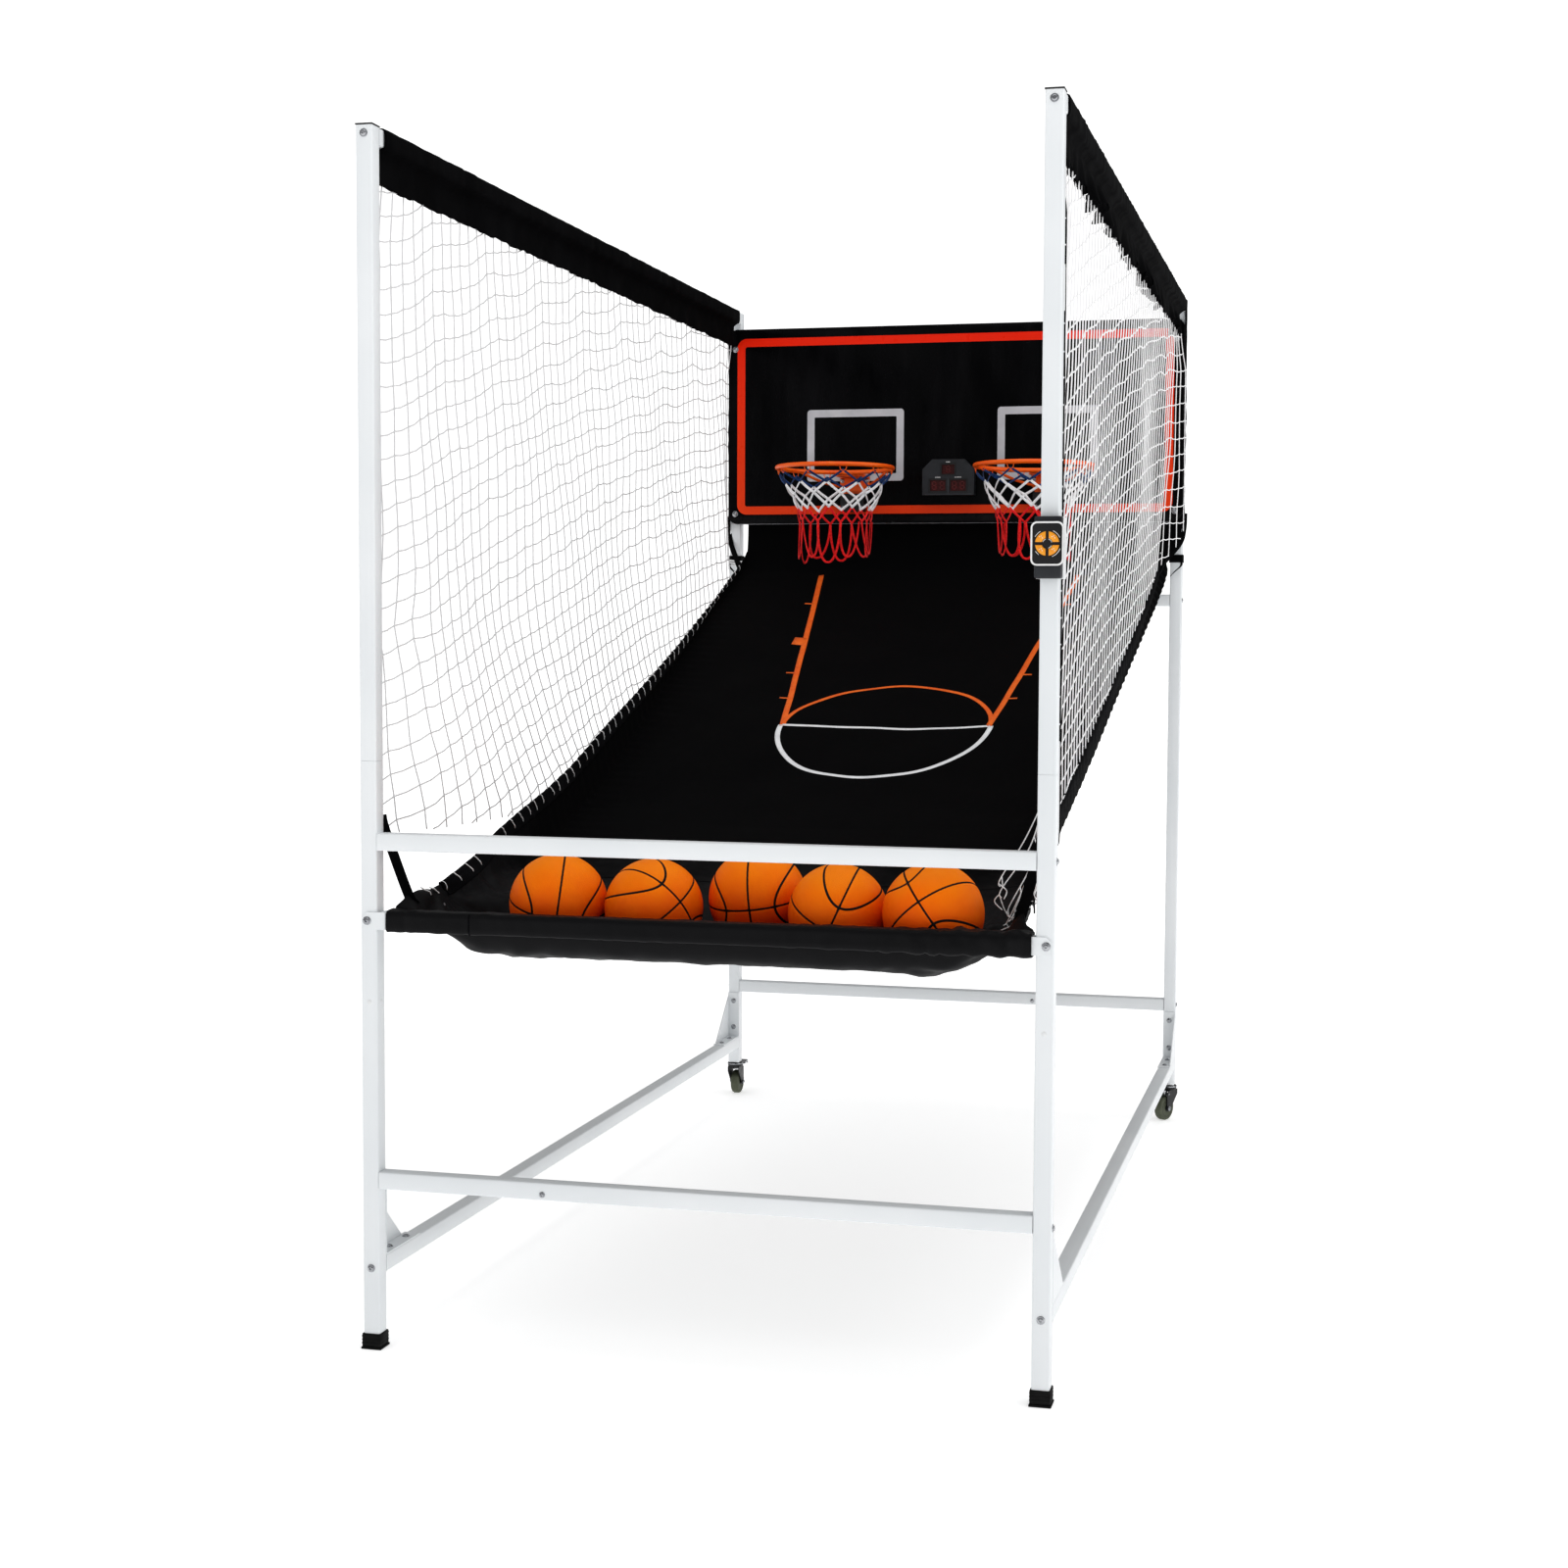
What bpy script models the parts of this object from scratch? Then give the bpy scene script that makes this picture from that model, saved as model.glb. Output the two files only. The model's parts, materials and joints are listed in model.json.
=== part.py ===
"""Two-player basketball hoop machine: bolted square-tube frame, fabric ball ramp and nets.

Metres, +Z up. The front, where the players stand, faces -Y, and +X is to a player's right.
The origin is on the floor under the middle of the machine.
"""

import math

import bmesh
import bpy
from mathutils import Matrix, Vector
from mathutils.bvhtree import BVHTree

# Overall size of the frame
WIDTH = 1.219
DEPTH = 2.286
HEIGHT = 2.133
GAP = 0.0003

# Square steel tube
TUBE = 0.0305
WALL = 0.0012
CORNER = 0.0030

# How far the control panel stands in front of the posts, and a brake pedal behind them
PANEL_REACH = 0.0285
PEDAL_REACH = 0.0535

# Planes of the frame
FRONT = (PANEL_REACH - DEPTH - PEDAL_REACH) / 2
REAR = FRONT + DEPTH
POST_X = (WIDTH - TUBE) / 2
FRONT_POST_Y = FRONT + TUBE / 2
REAR_POST_Y = REAR - TUBE / 2

# Heights of the frame's joints, at the middle of each tube
CAP_THICKNESS = 0.0030
POST_TOP = HEIGHT - CAP_THICKNESS
SPLICE_Z = 1.040
BASE_RAIL_Z = 0.147
LOW_BAR_Z = 0.302
FRONT_BAR_Z = 0.899
REAR_BAR_Z = 1.360
BALL_RAIL_Z = 0.7613
TOP_RAIL_Z = POST_TOP - TUBE / 2

# Feet and casters
FOOT_HEIGHT = 0.028
FOOT_FLOOR = 0.004
REAR_POST_BOTTOM = 0.090
WHEEL_RADIUS = 0.0315
WHEEL_WIDTH = 0.022
TRAIL = 0.022
STEM_RADIUS = 0.0050

# Backboard
BOARD_HEIGHT = 0.520
BOARD_BOTTOM = 1.563
BOARD_THICKNESS = 0.015
BOARD_FRONT = REAR - TUBE - GAP - BOARD_THICKNESS

# Hoops
HOOP_X = 0.2575
RIM_Z = 1.693
RIM_RADIUS = 0.148
RIM_ROD = 0.0050
RIM_Y = BOARD_FRONT - 0.224
NET_BOTTOM = 1.450

# Balls
BALL_RADIUS = 0.087

# Ball ramp: half its greatest width, and the cloth's thickness
RAMP_HALF_WIDTH = 0.560
RAMP_THICKNESS = 0.0024

# Control panel on the right front post
PANEL_Z = 1.411
CLAMP_Z = 1.4055

WHITE_PAINT = ("white_paint", (0.86, 0.88, 0.89), 0.35, 0.0)
BLACK_RUBBER = ("black_rubber", (0.015, 0.015, 0.016), 0.75, 0.0)
BLACK_PLASTIC = ("black_plastic", (0.02, 0.02, 0.022), 0.45, 0.0)
GREY_PLASTIC = ("grey_plastic", (0.055, 0.065, 0.075), 0.55, 0.0)
WHITE_PLASTIC = ("white_plastic", (0.82, 0.83, 0.84), 0.45, 0.0)
BLACK_FABRIC = ("black_fabric", (0.012, 0.012, 0.014), 0.85, 0.0)
NET_WHITE = ("net_white", (0.80, 0.80, 0.80), 0.8, 0.0)
BOARD_BLACK = ("board_black", (0.012, 0.011, 0.014), 0.25, 0.0)
RIM_ORANGE = ("rim_orange", (0.85, 0.16, 0.02), 0.35, 0.0)
BUTTON_ORANGE = ("button_orange", (0.95, 0.45, 0.04), 0.4, 0.0)
BALL_ORANGE = ("ball_orange", (0.80, 0.20, 0.02), 0.6, 0.0)
DISPLAY_RED = ("display_red", (0.10, 0.005, 0.005), 0.15, 0.0)
CIRCUIT_GREEN = ("circuit_green", (0.02, 0.16, 0.06), 0.5, 0.0)
STEEL = ("steel", (0.55, 0.55, 0.56), 0.25, 1.0)
TREAD = ("tread", (0.10, 0.11, 0.08), 0.7, 0.0)


def clear_scene():
    for obj in list(bpy.data.objects):
        bpy.data.objects.remove(obj, do_unlink=True)


def new_collection(name):
    collection = bpy.data.collections.new(name)
    bpy.context.scene.collection.children.link(collection)
    return collection


clear_scene()
PARTS = new_collection("basketball_hoop_machine")
CUTTERS = new_collection("cutters")


def material(finish):
    """The finish's material, made once."""
    name, colour, roughness, metallic = finish
    found = bpy.data.materials.get(name)
    if found:
        return found
    made = bpy.data.materials.new(name)
    made.use_nodes = True
    shader = made.node_tree.nodes["Principled BSDF"]
    shader.inputs["Base Color"].default_value = (*colour, 1.0)
    shader.inputs["Roughness"].default_value = roughness
    shader.inputs["Metallic"].default_value = metallic
    made.diffuse_color = (*colour, 1.0)
    return made


def add_object(name, data, finish, parent=None):
    """A part, or a cutter where finish is None."""
    obj = bpy.data.objects.new(name, data)
    obj.parent = parent
    if finish is None:
        CUTTERS.objects.link(obj)
        obj.hide_render = True
        obj.display_type = "WIRE"
        return obj
    PARTS.objects.link(obj)
    obj.data.materials.append(material(finish))
    return obj


def add_empty(name, location, angle=0.0):
    obj = bpy.data.objects.new(name, None)
    PARTS.objects.link(obj)
    obj.location = location
    obj.rotation_euler = (0, 0, angle)
    return obj


def smooth(obj, angle=35):
    obj.data.shade_smooth()
    obj.data.set_sharp_from_angle(angle=math.radians(angle))


def bevel(obj, width, segments=2):
    made = obj.modifiers.new("bevel", "BEVEL")
    made.width = width
    made.segments = segments
    made.limit_method = "ANGLE"


def combine(obj, other, operation):
    made = obj.modifiers.new(operation.lower() + "_" + other.name, "BOOLEAN")
    made.operation = operation
    made.object = other


def box(name, low, high, finish, parent=None):
    """A box between two corners, its origin at its middle."""
    low, high = Vector(low), Vector(high)
    mesh = bpy.data.meshes.new(name)
    shape = bmesh.new()
    bmesh.ops.create_cube(shape, size=1.0, matrix=Matrix.Diagonal((*(high - low), 1.0)))
    shape.to_mesh(mesh)
    shape.free()
    obj = add_object(name, mesh, finish, parent)
    obj.location = (low + high) / 2
    return obj


def rod(name, start, end, radius, finish, parent=None, sides=16):
    """A round bar between two points."""
    start, end = Vector(start), Vector(end)
    mesh = bpy.data.meshes.new(name)
    shape = bmesh.new()
    bmesh.ops.create_cone(
        shape,
        cap_ends=True,
        segments=sides,
        radius1=radius,
        radius2=radius,
        depth=(end - start).length,
    )
    shape.to_mesh(mesh)
    shape.free()
    obj = add_object(name, mesh, finish, parent)
    smooth(obj)
    obj.location = (start + end) / 2
    obj.rotation_euler = (end - start).to_track_quat("Z", "Y").to_euler()
    return obj


def arc(centre, radius, start, end, steps):
    """Points along an arc, angles in degrees."""
    points = []
    for i in range(steps + 1):
        angle = math.radians(start + (end - start) * i / steps)
        points.append((centre[0] + radius * math.cos(angle), centre[1] + radius * math.sin(angle)))
    return points


def rounded_rectangle(width, height, radius, steps=3):
    x, y = width / 2 - radius, height / 2 - radius
    corners = (((x, y), 0), ((-x, y), 90), ((-x, -y), 180), ((x, -y), 270))
    points = []
    for centre, start in corners:
        points += arc(centre, radius, start, start + 90, steps)
    return points


# Turns that stand an outline up: its plane, then the way its thickness runs
ACROSS = (math.pi / 2, 0, 0)
ALONG = (math.pi / 2, 0, math.pi / 2)
FLAT = (0, 0, 0)


def plate(name, loops, thickness, turn, centre, finish, parent=None):
    """A flat outline of even thickness; loops after the first are holes."""
    curve = bpy.data.curves.new(name, "CURVE")
    curve.dimensions = "2D"
    curve.fill_mode = "BOTH"
    curve.extrude = thickness / 2
    for loop in loops:
        spline = curve.splines.new("POLY")
        spline.points.add(len(loop) - 1)
        spline.use_cyclic_u = True
        for point, (x, y) in zip(spline.points, loop):
            point.co = (x, y, 0, 1)
    obj = add_object(name, curve, finish, parent)
    obj.location = centre
    obj.rotation_euler = turn
    return obj


def as_mesh(obj):
    """The same part as a mesh with its caps welded, so that it can be cut or joined."""
    name, finish, parent = obj.name, list(obj.data.materials), obj.parent
    bpy.context.view_layer.update()
    graph = bpy.context.evaluated_depsgraph_get()
    mesh = bpy.data.meshes.new_from_object(obj.evaluated_get(graph))
    shape = bmesh.new()
    shape.from_mesh(mesh)
    bmesh.ops.remove_doubles(shape, verts=shape.verts, dist=0.00001)
    bmesh.ops.recalc_face_normals(shape, faces=shape.faces)
    shape.to_mesh(mesh)
    shape.free()
    place = obj.matrix_world.copy()
    owner = obj.users_collection[0]
    helper = obj.hide_render
    bpy.data.objects.remove(obj, do_unlink=True)
    made = bpy.data.objects.new(name, mesh)
    owner.objects.link(made)
    made.hide_render = helper
    made.display_type = "WIRE" if helper else "TEXTURED"
    mesh.materials.clear()
    for item in finish:
        mesh.materials.append(item)
    made.parent = parent
    made.matrix_world = place
    return made


def tube_loops():
    inside = TUBE - 2 * WALL
    return [rounded_rectangle(TUBE, TUBE, CORNER), rounded_rectangle(inside, inside, CORNER - WALL, 1)]


def tube(name, axis, centre, length):
    """A length of the square tube, open at both ends."""
    turn = {"X": ALONG, "Y": ACROSS, "Z": FLAT}[axis]
    return plate(name, tube_loops(), length, turn, centre, WHITE_PAINT)


def upright(name, x, y, bottom, top):
    return tube(name, "Z", (x, y, (bottom + top) / 2), top - bottom)


def smooth_path(points, steps):
    """A Catmull-Rom curve through 2D points."""
    ends = [points[0]] + list(points) + [points[-1]]
    path = []
    for i in range(1, len(ends) - 2):
        a, b, c, d = (Vector(p) for p in ends[i - 1 : i + 3])
        for k in range(steps):
            t = k / steps
            square = (2 * a - 5 * b + 4 * c - d) * t**2
            cube = (3 * b - a - 3 * c + d) * t**3
            path.append((2 * b + (c - a) * t + square + cube) / 2)
    path.append(Vector(points[-1]))
    return path


# Frame


def front_posts():
    for side, sign in (("left", -1), ("right", 1)):
        x = sign * POST_X
        upright("front_post_lower_" + side, x, FRONT_POST_Y, FOOT_FLOOR + GAP, SPLICE_Z)
        upright("front_post_upper_" + side, x, FRONT_POST_Y, SPLICE_Z + GAP, POST_TOP)
        rubber_foot("rubber_foot_" + side, x)
        post_cap("post_cap_" + side, x)


def rubber_foot(name, x):
    """A cup that the post stands in, with a lip round its base."""
    half, lip = 0.0170, 0.0190
    centre = Vector((x, FRONT_POST_Y, 0))
    top = centre + Vector((half, half, FOOT_HEIGHT))
    cup = box(name, centre - Vector((half, half, 0)), top, BLACK_RUBBER)
    bevel(cup, 0.0015)
    base = box(name + "_lip", centre - Vector((lip, lip, 0)), centre + Vector((lip, lip, 0.0035)), None)
    bevel(base, 0.0010)
    inside = TUBE / 2 + GAP
    hollow = box(
        name + "_hollow",
        centre + Vector((-inside, -inside, FOOT_FLOOR)),
        centre + Vector((inside, inside, FOOT_HEIGHT + 0.01)),
        None,
    )
    combine(cup, base, "UNION")
    combine(cup, hollow, "DIFFERENCE")


def post_cap(name, x):
    """A flat plastic cap with a plug that sits inside the tube."""
    half, plug, plug_depth = 0.0162, 0.0130, 0.012
    centre = Vector((x, FRONT_POST_Y, 0))
    top = Vector((half, half, 0))
    cap = box(
        name,
        centre - top + Vector((0, 0, POST_TOP + GAP)),
        centre + top + Vector((0, 0, HEIGHT)),
        BLACK_PLASTIC,
    )
    bevel(cap, 0.0008)
    inner = Vector((plug, plug, 0))
    stub = box(
        name + "_plug",
        centre - inner + Vector((0, 0, POST_TOP - plug_depth)),
        centre + inner + Vector((0, 0, POST_TOP + CAP_THICKNESS / 2)),
        None,
    )
    combine(cap, stub, "UNION")


def rear_posts():
    """Closed at the top, with a hole for the caster's stem in the bottom plate."""
    half, plate_thickness = TUBE / 2, 0.004
    for side, sign in (("left", -1), ("right", 1)):
        name = "rear_post_" + side
        x = sign * POST_X
        post = box(
            name,
            (x - half, REAR_POST_Y - half, REAR_POST_BOTTOM),
            (x + half, REAR_POST_Y + half, POST_TOP),
            WHITE_PAINT,
        )
        bevel(post, CORNER, 3)
        inner = half - WALL
        hollow = box(
            name + "_hollow",
            (x - inner, REAR_POST_Y - inner, REAR_POST_BOTTOM + plate_thickness),
            (x + inner, REAR_POST_Y + inner, POST_TOP - WALL),
            None,
        )
        hole = rod(
            name + "_hole",
            (x, REAR_POST_Y, REAR_POST_BOTTOM - 0.01),
            (x, REAR_POST_Y, REAR_POST_BOTTOM + 2 * plate_thickness),
            STEM_RADIUS + 0.0006,
            None,
        )
        combine(post, hollow, "DIFFERENCE")
        combine(post, hole, "DIFFERENCE")


def rails_and_bars():
    run = DEPTH - 2 * TUBE - 2 * GAP
    span = WIDTH - 2 * TUBE - 2 * GAP
    middle_y = (FRONT + REAR) / 2
    for side, sign in (("left", -1), ("right", 1)):
        tube("base_rail_" + side, "Y", (sign * POST_X, middle_y, BASE_RAIL_Z), run)
        tube("top_rail_" + side, "Y", (sign * POST_X, middle_y, TOP_RAIL_Z), run)
    tube("front_crossbar", "X", (0, FRONT_POST_Y, FRONT_BAR_Z), span)
    tube("front_lower_crossbar", "X", (0, FRONT_POST_Y, LOW_BAR_Z), span)
    tube("rear_lower_crossbar", "X", (0, REAR_POST_Y, LOW_BAR_Z), span)
    tube("rear_mid_crossbar", "X", (0, REAR_POST_Y, REAR_BAR_Z), span)


RAIL_SINK = 0.0015


def ball_rail():
    """The tube along the front of the ball pocket, with a bolted tab lapping each post."""
    tab_inner, tab_outer, tab_thickness, cut_corner = 0.5625, 0.6045, 0.0027, 0.008
    rail = tube("ball_rail", "X", (0, FRONT_POST_Y - RAIL_SINK, BALL_RAIL_Z), 2 * 0.575)
    rail = as_mesh(rail)
    low, high = -TUBE / 2, TUBE / 2
    outline = [(tab_inner, low), (tab_outer, low), (tab_outer, high - cut_corner)]
    outline += [(tab_outer - cut_corner, high), (tab_inner, high)]
    for sign in (-1, 1):
        loop = [(sign * x, z) for x, z in outline]
        centre = (0, FRONT - GAP - tab_thickness / 2, BALL_RAIL_Z)
        tab = as_mesh(plate(f"ball_rail_tab{sign}", [loop], tab_thickness, ACROSS, centre, None))
        combine(rail, tab, "UNION")


def gussets():
    """Folded sheet brackets: a flange on the rail, one on the post, and a web on the outer side."""
    rail_leg, post_leg, sheet = 0.140, 0.122, 0.0022
    rail_top = BASE_RAIL_Z + TUBE / 2 + GAP
    flanges = [(0, 0), (rail_leg, 0), (rail_leg, sheet)]
    flanges += [(sheet, sheet), (sheet, post_leg), (0, post_leg)]
    web_run, web_rise = rail_leg * 0.86, post_leg * 0.93
    web = [(0, 0), (web_run, 0), (web_run, 2 * sheet), (sheet * 2, web_rise), (0, web_rise)]
    for end, face, inward in (("front", FRONT + TUBE + GAP, 1), ("rear", REAR - TUBE - GAP, -1)):
        for side, sign in (("left", -1), ("right", 1)):
            name = f"gusset_{end}_{side}"
            place = (sign * POST_X, face, rail_top)
            loop = [(inward * y, z) for y, z in flanges]
            bracket = as_mesh(plate(name, [loop], TUBE, ALONG, place, WHITE_PAINT))
            place = (sign * (POST_X + TUBE / 2 - sheet / 2), face, rail_top)
            loop = [(inward * y, z) for y, z in web]
            side_web = as_mesh(plate(name + "_web", [loop], sheet, ALONG, place, None))
            combine(bracket, side_web, "UNION")


# Casters


def caster(side, sign, angle):
    """A swivel caster on its own empty: the fork trails along the empty's +Y."""
    swivel = add_empty("caster_swivel_" + side, (sign * POST_X, REAR_POST_Y, 0), angle)
    caster_fork("caster_fork_" + side, swivel)
    caster_wheel("caster_wheel_" + side, swivel)
    caster_brake("caster_brake_" + side, swivel)


CHEEK_X = 0.0150
CHEEK_THICKNESS = 0.0022
PEDAL_PIVOT = (0, 0.0240, 0.0690)


def caster_fork(name, swivel):
    top = REAR_POST_BOTTOM - GAP
    fork = rod(name, (0, 0, 0.0775), (0, 0, top), 0.0195, BLACK_PLASTIC, swivel, 24)
    bevel(fork, 0.0015)
    pieces = [rod(name + "_stem", (0, 0, 0.083), (0, 0, 0.112), STEM_RADIUS, None, swivel)]
    low, high = (-0.0161, -0.016, 0.0750), (0.0161, 0.021, 0.0785)
    pieces.append(box(name + "_bridge", low, high, None, swivel))
    boss = arc((TRAIL, WHEEL_RADIUS), 0.0085, 200, 380, 6)
    outline = [(0.0215, 0.0780), (-0.0165, 0.0780), (-0.0165, 0.0660)] + boss
    outline += [(0.0300, 0.0600), (0.0290, 0.0720)]
    for x in (-CHEEK_X, CHEEK_X):
        label = f"{name}_cheek{x:+.3f}"
        cheek = plate(label, [outline], CHEEK_THICKNESS, ALONG, (x, 0, 0), None, swivel)
        pieces.append(as_mesh(cheek))
    left, right = (-0.018, TRAIL, WHEEL_RADIUS), (0.018, TRAIL, WHEEL_RADIUS)
    pieces.append(rod(name + "_axle", left, right, 0.0035, None, swivel))
    for piece in pieces:
        combine(fork, piece, "UNION")
    pin = Vector(PEDAL_PIVOT)
    reach = Vector((0.020, 0, 0))
    combine(fork, rod(name + "_pin_hole", pin - reach, pin + reach, 0.0027, None, swivel), "DIFFERENCE")


def caster_wheel(name, swivel):
    """A turned wheel: rounded tread, dished sides and a bore with running clearance."""
    half, bore, dish, shoulder = WHEEL_WIDTH / 2, 0.0042, 0.003, 0.0030
    upper = [(bore, half), (0.0085, half), (0.0095, half - dish), (0.0215, half - dish), (0.0235, half)]
    upper += [(WHEEL_RADIUS - shoulder, half), (WHEEL_RADIUS, half - shoulder)]
    profile = upper + [(x, -z) for x, z in reversed(upper)]
    obj = turned(name, profile, 24, TREAD, swivel)
    obj.location = (0, TRAIL, WHEEL_RADIUS)
    obj.rotation_euler = (0, math.pi / 2, 0)


def turned(name, profile, steps, finish, parent=None):
    """A closed profile of (radius, height) points turned about Z."""
    mesh = bpy.data.meshes.new(name)
    shape = bmesh.new()
    points = [shape.verts.new((x, 0, z)) for x, z in profile]
    for i, point in enumerate(points):
        shape.edges.new((point, points[(i + 1) % len(points)]))
    shape.to_mesh(mesh)
    shape.free()
    obj = add_object(name, mesh, finish, parent)
    made = obj.modifiers.new("screw", "SCREW")
    made.steps = steps
    made.render_steps = steps
    made.use_merge_vertices = True
    made.merge_threshold = 0.00001
    made.use_smooth_shade = False
    return obj


def caster_brake(name, swivel):
    """A bent pedal over the wheel, on a pin through the fork's cheeks."""
    pivot = Vector(PEDAL_PIVOT)
    shank = [(0.0160, 0.0656), (0.0330, 0.0656), (0.0420, 0.0775), (0.0420, 0.0805), (0.0400, 0.0808)]
    shank += [(0.0310, 0.0715), (0.0160, 0.0715)]
    tread = [(0.0400, 0.0775), (0.0640, 0.0800), (0.0655, 0.0755), (0.0688, 0.0755), (0.0688, 0.0838)]
    tread += [(0.0660, 0.0852), (0.0400, 0.0815)]
    loop = [(y - pivot.y, z - pivot.z) for y, z in shank]
    pedal = as_mesh(plate(name, [loop], 0.0230, ALONG, pivot, STEEL, swivel))
    wide = as_mesh(plate(name + "_tread", [tread], 0.0340, ALONG, (0, 0, 0), None, swivel))
    reach = Vector((0.0172, 0, 0))
    pin = rod(name + "_pin", pivot - reach, pivot + reach, 0.0021, None, swivel)
    combine(pedal, wide, "UNION")
    combine(pedal, pin, "UNION")


# Backboard, hoops and score equipment


def backboard():
    loop = rounded_rectangle(WIDTH, BOARD_HEIGHT, 0.024, 6)
    centre = (0, BOARD_FRONT + BOARD_THICKNESS / 2, BOARD_BOTTOM + BOARD_HEIGHT / 2)
    plate("backboard", [loop], BOARD_THICKNESS, ACROSS, centre, BOARD_BLACK)


BRACKET_SHEET = 0.003
BRACKET_TOP = RIM_Z - 0.006
BRACKET_BOTTOM = BRACKET_TOP - 0.047


def rim(side, x):
    """The ring with its neck plate, back plate and two braces, welded together."""
    name = "rim_" + side
    bpy.ops.mesh.primitive_torus_add(
        major_radius=RIM_RADIUS,
        minor_radius=RIM_ROD,
        major_segments=32,
        minor_segments=8,
        location=(x, RIM_Y, RIM_Z),
    )
    ring = bpy.context.active_object
    for owner in list(ring.users_collection):
        owner.objects.unlink(ring)
    PARTS.objects.link(ring)
    ring.name = name
    ring.data.materials.append(material(RIM_ORANGE))
    smooth(ring)
    neck_low = BRACKET_TOP + GAP
    ring_back = RIM_Y + RIM_RADIUS
    neck = box(
        name + "_neck",
        (x - 0.036, ring_back - 0.003, neck_low),
        (x + 0.036, BOARD_FRONT - 0.006, neck_low + BRACKET_SHEET),
        None,
    )
    back_face = BOARD_FRONT - GAP - BRACKET_SHEET - GAP
    back = box(
        name + "_back",
        (x - 0.028, back_face - BRACKET_SHEET, BRACKET_BOTTOM + 0.006),
        (x + 0.028, back_face, BRACKET_TOP - BRACKET_SHEET - 0.0007),
        None,
    )
    combine(ring, neck, "UNION")
    combine(ring, back, "UNION")
    for sign in (-1, 1):
        angle = math.radians(52)
        start = (x + sign * RIM_RADIUS * math.sin(angle), RIM_Y + RIM_RADIUS * math.cos(angle), RIM_Z)
        end = (x + sign * 0.022, back_face - 0.0028, BRACKET_BOTTOM + 0.016)
        brace = rod(f"{name}_brace{sign}", start, end, 0.0035, None, None, 10)
        combine(ring, brace, "UNION")


def rim_bracket(side, x):
    """A folded sheet: a shelf under the rim's neck and a plate against the board, wider at the top."""
    name = "rim_bracket_" + side
    top, low = BRACKET_TOP, BRACKET_BOTTOM
    height = top - low
    shoulder = height * 0.45
    loop = [(-0.030, 0), (0.030, 0), (0.040, shoulder), (0.040, height)]
    loop += [(-0.040, height), (-0.040, shoulder)]
    centre = (x, BOARD_FRONT - GAP - BRACKET_SHEET / 2, low)
    wall = as_mesh(plate(name, [loop], BRACKET_SHEET, ACROSS, centre, RIM_ORANGE))
    shelf = box(
        name + "_shelf",
        (x - 0.040, BOARD_FRONT - 0.055, top - BRACKET_SHEET),
        (x + 0.040, BOARD_FRONT - GAP, top),
        None,
    )
    combine(wall, shelf, "UNION")


def score_sensor(side, x):
    """The box under the bracket that sees a ball leave the net through its recessed lens."""
    name = "score_sensor_" + side
    top = BRACKET_BOTTOM - GAP
    front = BOARD_FRONT - 0.034
    low, high = (x - 0.032, front, top - 0.047), (x + 0.032, BOARD_FRONT - GAP, top)
    housing = box(name, low, high, BLACK_PLASTIC)
    bevel(housing, 0.004, 2)
    start, end = (x, front - 0.01, top - 0.022), (x, front + 0.003, top - 0.022)
    lens = rod(name + "_lens", start, end, 0.008, None, None, 20)
    combine(housing, lens, "DIFFERENCE")


def hoop_net(side, x):
    """The net's outer shape: a tapering sleeve, open above and below."""
    top = RIM_Z - 0.009
    middle = top - 0.11
    wall = 0.004
    outer = [(0.141, top), (0.108, middle), (0.101, NET_BOTTOM)]
    inner = [(radius - wall, z) for radius, z in reversed(outer)]
    obj = turned("hoop_net_" + side, outer + inner, 20, NET_WHITE)
    obj.location = (x, RIM_Y, 0)


SCORE_CENTRE_Z = 1.681
SCORE_DEPTH = 0.0252


def scoreboard_outline(inset):
    half, low, high, chamfer = 0.069 - inset, -0.047 + inset, 0.047 - inset, 0.026
    cut = chamfer - inset * 0.4
    right = [(half, low), (half, high - cut), (half - cut, high)]
    return [(-half, low)] + right + [(cut - half, high), (-half, high - cut)]


# Each window's left, bottom, right and top, from the scoreboard's middle
WINDOWS = (
    (-0.017, 0.008, 0.017, 0.033),
    (-0.048, -0.036, -0.006, -0.007),
    (0.006, -0.036, 0.048, -0.007),
)


def scoreboard():
    """Front shell with three windows, a tinted display behind them, the circuit board and a back."""
    wall = 0.0025
    front = BOARD_FRONT - GAP - 0.0022 - GAP - SCORE_DEPTH
    centre = Vector((0, front + SCORE_DEPTH / 2, SCORE_CENTRE_Z))
    whole = [scoreboard_outline(0)]
    shell = as_mesh(plate("scoreboard_housing", whole, SCORE_DEPTH, ACROSS, centre, GREY_PLASTIC))
    centre += Vector((0, wall, 0))
    hollow = plate("scoreboard_hollow", [scoreboard_outline(wall)], SCORE_DEPTH, ACROSS, centre, None)
    combine(shell, as_mesh(hollow), "DIFFERENCE")
    for number, (left, bottom, right, top) in enumerate(WINDOWS):
        low = (left, front - 0.01, SCORE_CENTRE_Z + bottom)
        high = (right, front + 0.01, SCORE_CENTRE_Z + top)
        combine(shell, box(f"scoreboard_opening_{number}", low, high, None), "DIFFERENCE")
    inside = [scoreboard_outline(wall + 0.0006)]
    display_y = front + wall + GAP + 0.001
    back_y = BOARD_FRONT - GAP - 0.0011
    board_y = back_y - 0.0011 - GAP - 0.0008
    layers = (
        ("scoreboard_display_window", inside, 0.0020, display_y, DISPLAY_RED),
        ("scoreboard_circuit_board", inside, 0.0016, board_y, CIRCUIT_GREEN),
        ("scoreboard_back_cover", whole, 0.0022, back_y, GREY_PLASTIC),
    )
    for name, loops, thickness, y, finish in layers:
        plate(name, loops, thickness, ACROSS, (0, y, SCORE_CENTRE_Z), finish)


# Control panel

FACE_FRONT = FRONT - 0.0265
FACE_THICKNESS = 0.004
HOUSING_FRONT = FACE_FRONT + FACE_THICKNESS + GAP


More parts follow.
